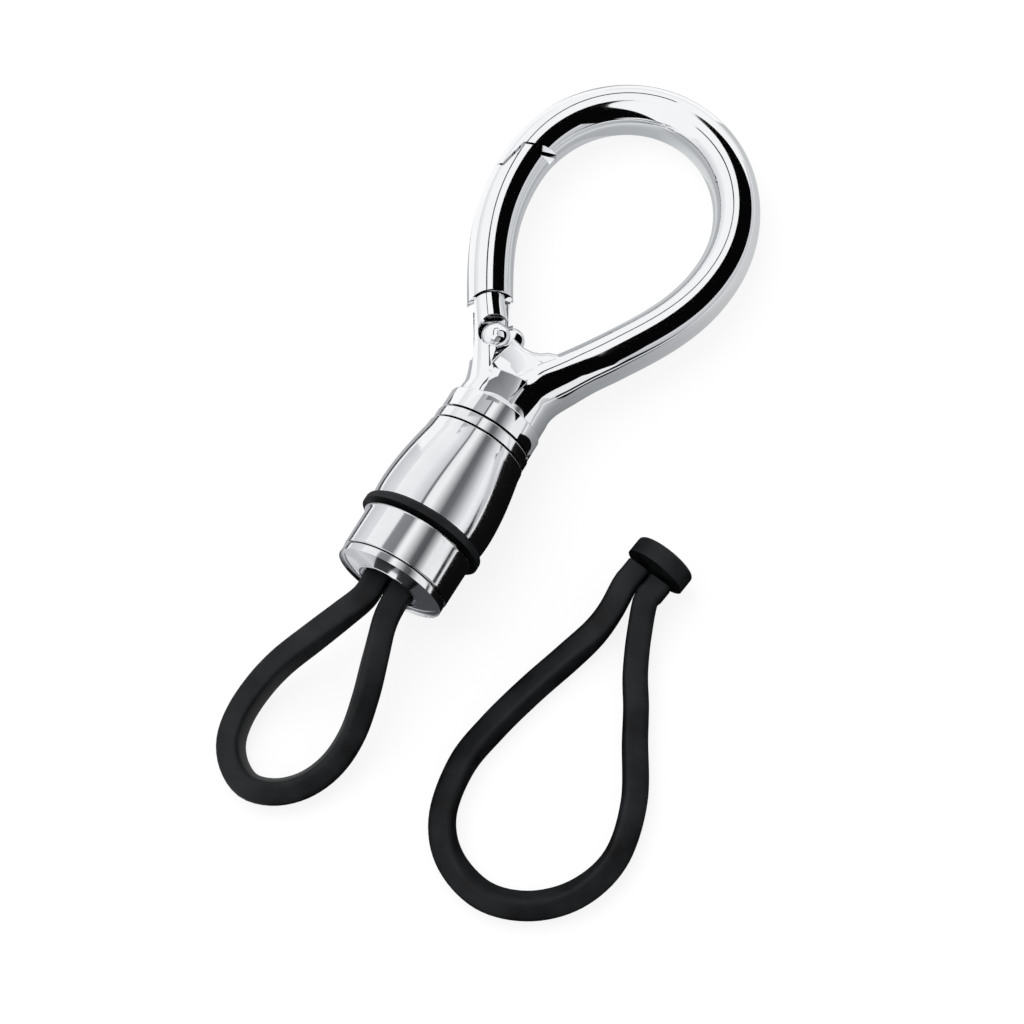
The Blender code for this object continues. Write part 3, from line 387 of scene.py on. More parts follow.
def bar_tree():
    """A bar along a route of edges. Girth scales its section at each point and turn rolls it."""
    sizes = [(label, "NodeSocketFloat") for label in ("Half width", "Half height", "Fullness")]
    tree, given, result = new_tree("Swept bar", [*sizes, ("Section points", "NodeSocketInt")])
    line = add(tree, "GeometryNodeMeshToCurve", [("Mesh", given.outputs["Geometry"])])
    upright = add(tree, "GeometryNodeSetCurveNormal", [("Curve", line.outputs["Curve"])], mode="Z_UP")
    rolled = add(
        tree, "GeometryNodeSetCurveTilt", [("Curve", upright.outputs["Curve"]), ("Tilt", carried(tree, "turn"))]
    )
    round_line = add(
        tree, "GeometryNodeCurvePrimitiveCircle", [("Resolution", given.outputs["Section points"])], Radius=1.0
    )
    place = add(tree, "GeometryNodeInputPosition")
    split = add(tree, "ShaderNodeSeparateXYZ", [("Vector", place.outputs["Position"])])
    power = maths(tree, "DIVIDE", 2.0, given.outputs["Fullness"])
    moved = add(tree, "ShaderNodeCombineXYZ")
    for axis, half in (("X", "Half width"), ("Y", "Half height")):
        across = split.outputs[axis]
        fuller = maths(tree, "POWER", maths(tree, "ABSOLUTE", across), power)
        signed = maths(tree, "MULTIPLY", fuller, maths(tree, "SIGN", across))
        tree.links.new(maths(tree, "MULTIPLY", signed, given.outputs[half]), moved.inputs[axis])
    places = [("Geometry", round_line.outputs["Curve"]), ("Position", moved.outputs["Vector"])]
    section = add(tree, "GeometryNodeSetPosition", places)
    curves = [("Curve", rolled.outputs["Curve"]), ("Profile Curve", section.outputs["Geometry"])]
    swept = add(tree, "GeometryNodeCurveToMesh", [*curves, ("Scale", carried(tree, "girth"))])
    swept.inputs["Fill Caps"].default_value = True
    return finish_tree(tree, given, result, swept.outputs["Mesh"])


def turned_tree():
    """A piece turned round the Z axis from a closed profile, drawn as (radius less the arbor's, depth)."""
    tree, given, result = new_tree("Turned piece", [("Segments", "NodeSocketInt"), ("Arbor", "NodeSocketFloat")])
    profile = add(tree, "GeometryNodeMeshToCurve", [("Mesh", given.outputs["Geometry"])])
    sizes = [("Resolution", given.outputs["Segments"]), ("Radius", given.outputs["Arbor"])]
    path = add(tree, "GeometryNodeCurvePrimitiveCircle", sizes)
    curves = [("Curve", path.outputs["Curve"]), ("Profile Curve", profile.outputs["Curve"])]
    lathe = add(tree, "GeometryNodeCurveToMesh", curves)
    return finish_tree(tree, given, result, lathe.outputs["Mesh"])


def tree_named(name, maker):
    """The node tree of this name, made the first time that it is asked for."""
    return bpy.data.node_groups.get(name) or maker()


def between(stops, share):
    """The value at a share of the way, eased between (share, value) stops."""
    for (start, low), (end, high) in zip(stops, stops[1:]):
        if share <= end:
            t = (share - start) / (end - start)
            return low + (high - low) * t * t * (3 - 2 * t)
    return stops[-1][1]


def line_mesh(name, points, closed=False, **attributes):
    """Points joined by edges, with a value at each point for every attribute."""
    mesh = bpy.data.meshes.new(name)
    last = len(points) - 1
    edges = [(index, index + 1) for index in range(last)] + ([(last, 0)] if closed else [])
    mesh.from_pydata([tuple(point) for point in points], edges, [])
    for label, values in attributes.items():
        mesh.attributes.new(label, "FLOAT", "POINT").data.foreach_set("value", values)
    made = bpy.data.objects.new(name, mesh)
    bpy.context.scene.collection.objects.link(made)
    return made


def grown(obj, tree, **inputs):
    """Runs a node tree on an object and leaves the result as its plain, clean mesh."""
    modifier = obj.modifiers.new(tree.name, "NODES")
    modifier.node_group = tree
    for item in tree.interface.items_tree:
        key = item.name.lower().replace(" ", "_")
        if item.in_out == "INPUT" and key in inputs:
            modifier[item.identifier] = inputs[key]
    return made_plain(obj)


def made_plain(obj):
    """Applies every modifier of an object and cleans its mesh."""
    obj.update_tag()
    bpy.context.view_layer.update()
    graph = bpy.context.evaluated_depsgraph_get()
    mesh = bpy.data.meshes.new_from_object(obj.evaluated_get(graph))
    obj.modifiers.clear()
    obj.data = mesh
    work = bmesh.new()
    work.from_mesh(mesh)
    bmesh.ops.remove_doubles(work, verts=work.verts, dist=WELD)
    bmesh.ops.recalc_face_normals(work, faces=work.faces)
    if work.calc_volume(signed=True) < 0:
        bmesh.ops.reverse_faces(work, faces=work.faces)
    work.to_mesh(mesh)
    work.free()
    return obj


def bar(name, points, finish, half_width, half_height, fullness, section_points, girths=None, turns=None):
    """A bar of rounded rectangular section along a route, with a girth and a roll for each of its points."""
    line = line_mesh(name, points, girth=girths or [1.0] * len(points), turn=turns or [0.0] * len(points))
    sizes = {"half_width": half_width, "half_height": half_height, "fullness": fullness}
    return grown(line, tree_named("Swept bar", bar_tree), **sizes, section_points=section_points, finish=finish)


def turned(name, profile, finish, segments=TURN_SEGMENTS, at=None):
    """A turned piece from (radius, place) pairs, along the barrel's axis or upright at a place of its own."""
    line = line_mesh(name, [(radius - ARBOR, -place, 0.0) for radius, place in profile], closed=True)
    tree = tree_named("Turned piece", turned_tree)
    made = grown(line, tree, segments=segments, arbor=ARBOR, finish=finish)
    made.data.transform(Matrix.Rotation(-math.pi / 2, 4, "X") if at is None else Matrix.Translation(at))
    return made


def eased(corners):
    """A closed profile from (radius, place) corners, which may have a rounding as a third value."""
    points = []
    for index, (radius, place, *rounding) in enumerate(corners):
        here = Vector((radius, place))
        if not rounding:
            points.append(here)
            continue
        back = (Vector(corners[index - 1][:2]) - here).normalized()
        on = (Vector(corners[(index + 1) % len(corners)][:2]) - here).normalized()
        half = back.angle(on) / 2
        centre = here + (back + on).normalized() * (rounding[0] / math.sin(half))
        start = here + back * (rounding[0] / math.tan(half)) - centre
        sweep = (math.pi - 2 * half) * math.copysign(1.0, start.x * on.y - start.y * on.x)
        for step in range(EASE_STEPS + 1):
            turn = sweep * step / EASE_STEPS
            points.append(
                centre
                + Vector((
                    start.x * math.cos(turn) - start.y * math.sin(turn),
                    start.x * math.sin(turn) + start.y * math.cos(turn),
                ))
            )
    return points


def plate(name, outline, thickness, middle=0.0):
    """A flat plate between its two faces, from an outline in the hook's own plane."""
    work = bmesh.new()
    low = [work.verts.new((p.x, p.y, middle - thickness / 2)) for p in outline]
    high = [work.verts.new((p.x, p.y, middle + thickness / 2)) for p in outline]
    work.faces.new(low[::-1])
    work.faces.new(high)
    for index in range(len(outline)):
        work.faces.new((low[index - 1], low[index], high[index], high[index - 1]))
    bmesh.ops.recalc_face_normals(work, faces=work.faces)
    mesh = bpy.data.meshes.new(name)
    work.to_mesh(mesh)
    work.free()
    made = bpy.data.objects.new(name, mesh)
    bpy.context.scene.collection.objects.link(made)
    return made


def disc(name, centre, radius, low, high, steps):
    """A round cutter that stands upright through the hook's plane."""
    ring = arc(centre, radius, 0.0, 2 * math.pi, steps)[:-1]
    return plate(name, ring, high - low, (low + high) / 2)


def softened(obj, width):
    """Rounds a plate's edges, but not where its outline only bends."""
    soften = obj.modifiers.new("soften", "BEVEL")
    soften.width = width
    soften.segments = SOFTEN_SEGMENTS
    soften.limit_method = "ANGLE"
    soften.angle_limit = SOFTEN_ANGLE
    return made_plain(obj)


def combine(target, *changes):
    """Applies Booleans one after another, as (operation, object) pairs, and removes those objects."""
    for operation, other in changes:
        change = target.modifiers.new(other.name, "BOOLEAN")
        change.operation = operation
        change.solver = "EXACT"
        change.object = other
    made_plain(target)
    for _, other in changes:
        bpy.data.objects.remove(other, do_unlink=True)
    return target


def settled(obj, finish, body, slot, *nodes):
    """Shades a finished piece, puts it under its body and hides the CAD nodes that it replaces. Its slot is not used.
    """
    mesh = obj.data
    mesh.materials.clear()
    mesh.materials.append(finish)
    mesh.shade_smooth()
    mesh.set_sharp_from_angle(angle=EDGE_ANGLE)
    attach(obj, body)
    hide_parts(*nodes)
    return obj


def laid_down(obj):
    """Takes a piece that was drawn flat onto the frame's swivel axis."""
    obj.data.transform(LAID)
    return obj


def cubic(start, handle, far_handle, end, steps):
    """Points along one Bezier piece, without its last."""
    points = []
    for step in range(steps):
        t = step / steps
        u = 1 - t
        points.append(start * u**3 + handle * (3 * u * u * t) + far_handle * (3 * u * t * t) + end * t**3)
    return points


def down_to(arm):
    """The centre line of the ring's lower right side, from its widest place down to the arm."""
    wide = Vector((RING_HALF_WIDTH, RING_WIDEST_Y, 0))
    fall = RING_WIDEST_Y - ARM.y
    handle = wide - Vector((0, fall * WIDE_HANDLE_SHARE, 0))
    return cubic(wide, handle, arm + ARM_SIDE * (fall * ARM_HANDLE_SHARE), arm, ROUTE_STEPS)


def round_top():
    """The centre line of the ring's upper right quarter, from its top to its widest place."""
    top = Vector((0, RING_TOP_Y, 0))
    wide = Vector((RING_HALF_WIDTH, RING_WIDEST_Y, 0))
    across = Vector((RING_HALF_WIDTH * ROUND_SHARE, 0, 0))
    up = Vector((0, (RING_TOP_Y - RING_WIDEST_Y) * ROUND_SHARE, 0))
    return cubic(top, top + across, wide + up, wide, ROUTE_STEPS)


def ring_half():
    """The centre line of the ring's right half, from its top to where the arm starts."""
    return [*round_top(), *down_to(ARM)]


def gate_side():
    """The centre line of the gate's side, bowed outwards towards the hinge."""
    arm = ARM + Vector((GATE_BOW, 0, 0))
    fall = RING_WIDEST_Y - ARM.y
    past = [arm - ARM_SIDE * (fall * step / ROUTE_STEPS) for step in range(ROUTE_STEPS // 4)]
    return mirrored([*round_top(), *down_to(arm), *past])


def girth_route(stops):
    """A smooth centre line and its girths from (across, along, girth) stops in mm."""
    points, _ = smooth_route([Vector((x * MM, y * MM, girth * MM)) for x, y, girth in stops], CORD_STEP / 2)
    return [Vector((point.x, point.y, 0)) for point in points], [point.z / MM for point in points]


def mirrored(points):
    """The same points on the other side of the hook's middle plane."""
    return [Vector((-point.x, point.y, point.z)) for point in points]


def outline_of(places):
    """An outline in the hook's own plane, from (across, along) pairs in mm."""
    return [Vector((x * MM, y * MM, 0)) for x, y in places]


def on_circle(centre, radius, bearing):
    """The place at a bearing on a circle in the hook's plane."""
    return centre + Vector((math.cos(bearing), math.sin(bearing), 0)) * radius


def arc(centre, radius, start, end, steps):
    """Points round a centre from one bearing to another, both included."""
    return [on_circle(centre, radius, start + (end - start) * step / steps) for step in range(steps + 1)]


def angle_from_rivet(point):
    """The bearing of a point from the rivet."""
    way = point - RIVET
    return math.atan2(way.y, way.x)


def gate_room(gap, floor_y):
    """The outline in which the gate closes: under the nose's arc, inside its lip, and below the lip's end."""
    outer_x = RING_HALF_WIDTH + HALF_WIDTH
    root_way = math.acos((outer_x - LIP_ROOT + RIVET.x) / NOSE_RADIUS)
    root = RIVET + Vector((-math.cos(root_way), math.sin(root_way), 0)) * NOSE_RADIUS
    tip = Vector((-(outer_x - LIP_TIP), root.y - LIP_LENGTH, 0))
    out = Vector((-gap, 0, 0))
    outside = Vector((-(outer_x + OVERRUN), tip.y + gap, 0))
    start = angle_from_rivet(root + out)
    top = arc(RIVET, NOSE_RADIUS + gap, start, math.pi / 2, ROUTE_STEPS)
    return [
        *top,
        Vector((top[-1].x, floor_y, 0)),
        Vector((outside.x, floor_y, 0)),
        outside,
        tip + out + Vector((0, gap, 0)),
    ]


def turn_of(first, second, third):
    """Above zero where the way through three points turns left."""
    return (second.x - first.x) * (third.y - first.y) - (second.y - first.y) * (third.x - first.x)


def hull(circles):
    """The outline of a band stretched round circles, given as (centre, radius) pairs."""
    points = []
    for centre, radius in circles:
        points += arc(centre, radius, 0.0, 2 * math.pi, CUT_STEPS)[:-1]
    points.sort(key=lambda point: (point.x, point.y))
    outline = []
    for pass_points in (points, points[::-1]):
        side = []
        for point in pass_points:
            while len(side) > 1 and turn_of(side[-2], side[-1], point) <= WELD * WELD:
                side.pop()
            side.append(point)
        outline += side[:-1]
    return outline


def smooth_route(points, step):
    """Even points along a smooth curve through given ones, and its length."""
    ends = [points[0] * 2 - points[1], *points, points[-1] * 2 - points[-2]]
    fine = []
    for before, start, end, after in zip(ends, ends[1:], ends[2:], ends[3:]):
        square = before * 2 - start * 5 + end * 4 - after
        cube = start * 3 - before - end * 3 + after
        for index in range(ROUTE_STEPS):
            t = index / ROUTE_STEPS
            fine.append((start * 2 + (end - before) * t + square * t**2 + cube * t**3) / 2)
    fine.append(points[-1])
    lengths = [0.0]
    for start, end in zip(fine, fine[1:]):
        lengths.append(lengths[-1] + (end - start).length)
    count = math.ceil(lengths[-1] / step)
    even = []
    index = 0
    for number in range(count + 1):
        wanted = lengths[-1] * number / count
        while index < len(fine) - 2 and lengths[index + 1] < wanted:
            index += 1
        share = (wanted - lengths[index]) / (lengths[index + 1] - lengths[index])
        even.append(fine[index].lerp(fine[index + 1], min(1.0, share)))
    return even, lengths[-1]


def material(name, build):
    """The material of this name. Its builder gets the node tree and the shader the first time."""
    made = bpy.data.materials.get(name)
    if made is None:
        made = bpy.data.materials.new(name)
        made.use_nodes = True
        build(made.node_tree, made.node_tree.nodes["Principled BSDF"])
    return made


def noise(tree, vector, scale, detail):
    """Noise at a vector socket, as its value's socket."""
    return add(tree, "ShaderNodeTexNoise", [("Vector", vector)], Scale=scale, Detail=detail).outputs["Fac"]


def ranged(tree, value, shader, low, high):
    """Sets a shader's roughness between two values by a value socket."""
    rough = add(tree, "ShaderNodeMapRange", [("Value", value)], To_Min=low, To_Max=high)
    tree.links.new(rough.outputs["Result"], shader.inputs["Roughness"])


def tinted(tree, factor, shader, first, second):
    """Mixes a shader's colour from two by a factor socket."""
    tint = add(tree, "ShaderNodeMix", [("Factor", factor)], data_type="RGBA")
    tint.inputs["A"].default_value = first
    tint.inputs["B"].default_value = second
    tree.links.new(tint.outputs["Result"], shader.inputs["Base Color"])


def bumped(tree, height, shader, strength, distance):
    """Raises a shader's surface by a height socket."""
    bump = add(tree, "ShaderNodeBump", [("Height", height)], Strength=strength, Distance=distance)
    tree.links.new(bump.outputs["Normal"], shader.inputs["Normal"])


def metal(name, grain, detail, rough, dull, bright):
    """A metal whose polish and tint wander a little, over spots of one grain's size."""

    def build(tree, shader):
        shader.inputs["Metallic"].default_value = 1.0
        spots = noise(tree, add(tree, "ShaderNodeTexCoord").outputs["Object"], 1 / grain, detail)
        ranged(tree, spots, shader, *rough)
        tinted(tree, spots, shader, dull, bright)

    return material(name, build)


def chrome_plate(colour):
    """Chrome plate on a polished zinc casting: a near-perfect mirror, faintly uneven where it was buffed."""
    return metal("polished_chrome_plate", 4 * MM, 3.0, (0.02, 0.07), linear("f0f1f3"), colour)


def turned_chrome(colour):
    """Chrome on lathe-turned brass: the fine rings left by the tool soften what it mirrors."""

    def build(tree, shader):
        shader.inputs["Metallic"].default_value = 1.0
        place = add(tree, "ShaderNodeTexCoord").outputs["Object"]
        rings = add(tree, "ShaderNodeMapping", [("Vector", place)])
        rings.inputs["Scale"].default_value = (0.1 / MM, 3 / MM, 0.1 / MM)
        marks = noise(tree, rings.outputs["Vector"], 1.0, 4.0)
        ranged(tree, marks, shader, 0.05, 0.17)
        tinted(tree, noise(tree, place, 1 / (3 * MM), 3.0), shader, linear("ebecee"), colour)
        bumped(tree, marks, shader, 0.25, 0.004 * MM)

    return material("satin_turned_chrome", build)


def bright_steel():
    """Drawn and turned steel, left as machined: a duller mirror with a fine grain."""
    return metal("plain_bright_steel", 0.4 * MM, 4.0, (0.2, 0.36), linear("b9babd"), linear("cfd0d2"))


def black_rubber(colour):
    """Moulded black rubber: deep grey-black, paler in random patches that also change its roughness, with a fine
    blasted-mould grain.
    """

    def build(tree, shader):
        shader.inputs["Specular IOR Level"].default_value = 0.3
        place = add(tree, "ShaderNodeTexCoord").outputs["Object"]
        # Random noise makes the rubber paler in patches and sets its roughness with them
        patches = noise(tree, place, 1 / (5 * MM), 4.0)
        paler_share = add(tree, "ShaderNodeMapRange", [("Value", patches)], From_Min=0.35, From_Max=0.7)
        tinted(tree, paler_share.outputs["Result"], shader, linear("060709"), colour)
        ranged(tree, patches, shader, 0.5, 0.68)
        bumped(tree, noise(tree, place, 1 / (0.25 * MM), 2.0), shader, 0.5, 0.03 * MM)

    return material("moulded_black_rubber", build)


class KeychainHook(bpy.types.PropertyGroup):
    half_width: bpy.props.FloatProperty(
        name="Section half width",
        description="Half the ring wire's width across the ring",
        default=HALF_WIDTH,
        unit="LENGTH",
    )
    half_height: bpy.props.FloatProperty(
        name="Section half height",
        description="Half the ring wire's height",
        default=HALF_HEIGHT,
        unit="LENGTH",
    )


class KeychainCords(bpy.types.PropertyGroup):
    width: bpy.props.FloatProperty(
        name="Cord width",
        description="Width of the rubber cord's rounded square section",
        default=CORD_WIDTH,
        unit="LENGTH",
    )


class KeychainFinish(bpy.types.PropertyGroup):
    metal: bpy.props.FloatVectorProperty(
        name="Metal colour",
        description="The palest tone of the chrome",
        subtype="COLOR",
        size=4,
        default=linear("f6f7f8"),
    )
    # The rubber's palest tone shows in its random paler patches
    rubber: bpy.props.FloatVectorProperty(
        name="Rubber colour",
        description="The palest tone of the rubber, where it has its bloom",
        subtype="COLOR",
        size=4,
        default=linear("181b1e"),
    )


class KEYCHAIN_OT_camera(bpy.types.Operator):
    """Places the camera as the photograph's was"""

    bl_idname = "keychain.camera"
    bl_label = "Camera"

    def execute(self, context):
        back = Vector((
            math.sin(AZIMUTH) * math.cos(ELEVATION),
            -math.cos(AZIMUTH) * math.cos(ELEVATION),
            math.sin(ELEVATION),
        ))
        data = bpy.data.cameras.new("camera")
        data.lens = CAMERA_LENS
        data.clip_start, data.clip_end = CLIP_NEAR, CLIP_FAR
        camera = bpy.data.objects.new("camera", data)
        right = Vector((math.cos(AZIMUTH), math.sin(AZIMUTH), 0))
        up = back.cross(right)
        camera.matrix_world = Matrix.Translation(CAMERA_TARGET + back * CAMERA_DISTANCE) @ Matrix(
            (right, up, back)
        ).transposed().to_4x4()
        context.scene.collection.objects.link(camera)
        context.scene.camera = camera
        return {"FINISHED"}


class KEYCHAIN_OT_cords(bpy.types.Operator):
    """Makes the fitted and the spare rubber loops with their stoppers"""

    bl_idname = "keychain.cords"
    bl_label = "Rubber loops"

    def execute(self, context):
        rubber = black_rubber(context.scene.keychain_finish.rubber)
        width = context.scene.keychain_cords.width
        hole = LAID @ Vector((0, RIM_FOOT, 0))
        start = STOPPER_FOOT - SEAT_GAP
        inner = [start, (start * 2 + RIM_FOOT) / 3, (start + RIM_FOOT * 2) / 3, RIM_FOOT]
        left = [LAID @ Vector((-STRAND_X, place, 0)) for place in inner]
        right = [LAID @ Vector((STRAND_X, place, 0)) for place in inner[::-1]]
        lift = CORD_WIDTH / 2 + SURFACE_GAP
        free = free_stops(hole, LOOP_ROUTE, lift)
        stopper = turned("fitted_stopper_disc", stopper_profile(STOPPER_TOP), rubber, SMALL_SEGMENTS)
        settled(laid_down(stopper), rubber, "loop", "rubber", "loop_stopper")
        self.loop("fitted_cord_loop", left + free + right, LOOP_ROLL, width, rubber, "loop", "loop_cord", stopper)

        turn = Matrix.Rotation(SPARE_TURN, 4, "Z")
        ends = [
            [SPARE_FACE + turn @ Vector((share * STRAND_X, -SEAT_GAP * lead, 0)) for lead in STRAIGHT_LEADS]
            for share in SPARE_STRAND_SHARES
        ]
        free = free_stops(SPARE_FACE, SPARE_ROUTE, lift)
        stopper = turned("spare_stopper_disc", stopper_profile(STOPPER_THICKNESS), rubber, SMALL_SEGMENTS)
        stopper.data.transform(Matrix.Translation(SPARE_FACE) @ turn)
        settled(stopper, rubber, "spare_loop", "rubber", "spare_stopper")
        self.loop(
            "spare_cord_loop", ends[0] + free + ends[1][::-1], SPARE_ROLL, width, rubber, "spare_loop", "spare_cord",
            stopper,
        )
        return {"FINISHED"}

    @staticmethod
    def loop(name, points, roll, width, rubber, body, node, stopper):
        """One cord loop through its points, rolled on the way, and raised where it stands on its edge."""
        route, length = smooth_route(points, CORD_STEP)
        turns = [between(roll, index / (len(route) - 1)) for index in range(len(route))]
        for point, turn in zip(route, turns):
            point.z += width / 2 * EDGE_GROWTH * math.sin(2 * turn) ** 2
        made = bar(name, route, rubber, width / 2, width / 2, CORD_FULLNESS, CORD_POINTS, turns=turns)
        settled(made, rubber, body, "rubber", node)


def free_stops(origin, route, lift):
    """Where a loop runs free: its stops from its origin, between the origin's height and the surface."""
    return [
        Vector((origin.x + x * MM, origin.y + y * MM, lift + (origin.z - lift) * share)) for x, y, share in route
    ]


def stopper_profile(top):
    """A stopper disc down from its top, with both its rims rounded."""
    foot = top - STOPPER_THICKNESS
    rims = [(STOPPER_RADIUS, place, STOPPER_ROUND) for place in (top, foot)]
    return eased([(0, top), *rims, (0, foot)])


def sink(side, floor, far, finish):
    """The cutter of one countersink round the rivet: side 1 is the top, -1 the bottom."""
    profile = [(0, floor), (SINK_FLOOR_RADIUS, floor), (SINK_RADIUS, HALF_HEIGHT), (SINK_RADIUS, far), (0, far)]
    profile = [(radius, side * place) for radius, place in profile]
    return turned("sink", profile, finish, SMALL_SEGMENTS, at=RIVET + SINK_SHIFT)


class KEYCHAIN_OT_hook(bpy.types.Operator):
    """Makes the hook's ring, hinge cheeks, neck and collar"""

    bl_idname = "keychain.hook"
    bl_label = "Hook"

    def execute(self, context):
        chrome = chrome_plate(context.scene.keychain_finish.metal)
        size = context.scene.keychain_hook
        ring = self.ring(size, chrome)
        neck = turned(
            "neck",
            eased([
                (0, NECK_TOP),
                (DRUM_RADIUS, NECK_TOP, COLLAR_ROUND / 3),
                (DRUM_RADIUS, COLLAR_TOP + COLLAR_ROUND * 2),
                (NECK_RADIUS, COLLAR_TOP),
                (COLLAR_RADIUS, COLLAR_TOP, COLLAR_ROUND / 2),
                (COLLAR_RADIUS, COLLAR_FOOT, TURNED_ROUND),
                (BOSS_RADIUS, COLLAR_FOOT),
                (BOSS_RADIUS, BOSS_FOOT),
                (0, BOSS_FOOT),
            ]),
            chrome,
        )
        top_edge = [
            Vector((HALF_WIDTH * across, WEB_TOP + HALF_WIDTH * rise, 0)) for across, rise in WEB_EDGE_SHARES
        ]
        foot_edge = [Vector((side * HALF_WIDTH, WEB_FOOT, 0)) for side in (1, -1)]
        web = softened(plate("web", [*top_edge, *foot_edge], WEB_THICKNESS), WEB_ROUND)
        outline = outline_of(SADDLE_EDGE)
        saddle = softened(plate("saddle", outline, SADDLE_HEIGHT * 2), FACET_ROUND)
        for point in saddle.data.vertices:
            point.co.z *= 1 - (point.co.y - outline[0].y) * SADDLE_FALL
        front = softened(plate("front", outline_of(FRONT_EDGE), FRONT_HEIGHT * 2), FACET_ROUND)
        line, girths = girth_route(STUB_ROUTE)
        section = (STUB_HALF_WIDTH, STUB_HALF_HEIGHT, SECTION_POWER, SECTION_POINTS)
        cheeks = bar("cheeks", line, chrome, *section, girths=girths)
        added = [("UNION", piece) for piece in (web, neck, saddle, front)]
        combine(cheeks, ("DIFFERENCE", self.cheek_end()), *added, *self.cuts(chrome))
        combine(ring, ("UNION", cheeks))
        settled(laid_down(ring), chrome, "hook", "chrome", "hook_frame")
        return {"FINISHED"}

    @staticmethod
    def ring(size, chrome):
        """The ring from its nose round to the arm's foot, with the room for the gate cut out."""
        left = gate_side()[: NOSE_STEPS + 1][::-1]
        arm_line, arm_girths = girth_route(ARM_ROUTE)
        round_line = left[:-1] + ring_half()
        section = (size.half_width, size.half_height, SECTION_POWER, SECTION_POINTS)
        girths = [1.0] * len(round_line) + arm_girths
        ring = bar("cast_hook", round_line + arm_line, chrome, *section, girths=girths)
        room = gate_room(GATE_GAP / 2, left[0].y - HALF_WIDTH * 2)
        return combine(ring, ("DIFFERENCE", plate("nose_cut", room, HALF_HEIGHT * 3)))

    @staticmethod
    def cheek_end():
        """The cutter that rounds the two cheeks off over the rivet."""
        way = angle_from_rivet(RIVET + ARM_WAY)
        low, high = way - CHEEK_SPREAD, way + CHEEK_SPREAD
        edge = [*arc(RIVET, CHEEK_RADIUS, low, high, CUT_STEPS), *arc(RIVET, CHEEK_RADIUS * 2, high, low, CUT_STEPS)]
        return plate("cheek_end", edge, HALF_HEIGHT * 3)

    @staticmethod
    def cuts(chrome):
        """The slot for the gate's tongue, the rivet's hole and countersinks, and the pocket beside it."""
        across = Vector((ARM_WAY.y, -ARM_WAY.x, 0)) * SLOT_RADIUS
        reach = ARM_WAY * (CHEEK_RADIUS + OVERRUN)
        mouth = [RIVET - across, RIVET + across, RIVET + across + reach, RIVET - across + reach]
        far = HALF_HEIGHT * 2
        cutters = [
            disc("slot_round", RIVET, SLOT_RADIUS, -SLOT_WIDTH / 2, SLOT_WIDTH / 2, TURN_SEGMENTS),
            plate("slot_mouth", mouth, SLOT_WIDTH),
            disc("pin_hole", RIVET, RIVET_RADIUS + RIVET_CLEARANCE, -far, far, CUT_STEPS),
            plate("pocket", outline_of(POCKET_EDGE), far, POCKET_FLOOR + far / 2),
            *[sink(side, HALF_HEIGHT - SINK_DEPTH, far, chrome) for side in (1, -1)],
        ]
        return [("DIFFERENCE", cutter) for cutter in cutters]


class KEYCHAIN_OT_gate(bpy.types.Operator):
    """Makes the sprung gate and its rivet"""

    bl_idname = "keychain.gate"
    bl_label = "Gate and rivet"

    def execute(self, context):
        chrome = chrome_plate(context.scene.keychain_finish.metal)
        size = context.scene.keychain_hook
        route = [point - Vector((GATE_PROUD / 2, 0, 0)) for point in gate_side()[ROUTE_STEPS * 3 // 4 :]]
        slim = [1 - GATE_SLIM_SHARE * index / (len(route) - 1) for index in range(len(route))]
        section = (size.half_width + GATE_PROUD / 2, size.half_height, SECTION_POWER, SECTION_POINTS)
        gate = bar("cast_gate", route, chrome, *section, girths=slim)
        far = HALF_HEIGHT * 2
        room = gate_room(-GATE_GAP / 2, RIVET.y - HALF_WIDTH * 2)
        latch = [on_circle(RIVET, NOSE_RADIUS + over * MM, math.radians(bearing)) for bearing, over in LATCH_EDGE]
        end_radius = CHEEK_RADIUS + GATE_GAP
        under_radius = end_radius + GATE_UNDERCUT
        end_profile = [
            (0, far), (end_radius, far), (end_radius, 0), (under_radius, -size.half_height), (under_radius, -far),
            (0, -far),
        ]
        gate_end = turned("gate_end", end_profile, chrome, at=RIVET)
        tongue_z = -(SLOT_WIDTH / 2 - SEAT_GAP - TONGUE_THICKNESS / 2)
        root = RIVET + ARM_WAY * (CHEEK_RADIUS + EYE_RADIUS)
        tongue = hull([(RIVET, EYE_RADIUS), (root, EYE_RADIUS * TONGUE_ROOT_SHARE)])
        heel = hull([(RIVET, HEEL_RADIUS), (on_circle(RIVET, HEEL_REACH - HEEL_RADIUS, HEEL_ANGLE), HEEL_RADIUS)])
        combine(
            gate,
            ("INTERSECT", plate("room", room, HALF_HEIGHT * 4)),
            ("DIFFERENCE", plate("latch_pocket", latch, far, LATCH_FLOOR + far / 2)),
            ("DIFFERENCE", gate_end),
            ("UNION", plate("tongue", tongue, TONGUE_THICKNESS, tongue_z)),
            ("UNION", softened(plate("heel", heel, HEEL_THICKNESS, tongue_z), HEEL_ROUND)),
            ("DIFFERENCE", disc("eye", RIVET, RIVET_RADIUS + EYE_CLEARANCE, -far, far, CUT_STEPS)),
        )
        settled(laid_down(gate), chrome, "gate", "chrome", "gate_arm")

        under = HALF_HEIGHT - SINK_DEPTH + SEAT_GAP
        steps = 2 * EASE_STEPS
        leans = [math.pi / 2 * step / steps for step in range(steps + 1)]
        dome = [(RIVET_HEAD_RADIUS * math.sin(lean), under + RIVET_DOME * math.cos(lean)) for lean in leans]
        upper = [*dome, (RIVET_RADIUS, under)]
        lower = [(radius, -place) for radius, place in upper[::-1]]
        rivet = turned("domed_rivet", upper + lower, chrome, SMALL_SEGMENTS, at=RIVET)
        settled(laid_down(rivet), chrome, "hook", "chrome", "hinge_rivet")
        return {"FINISHED"}


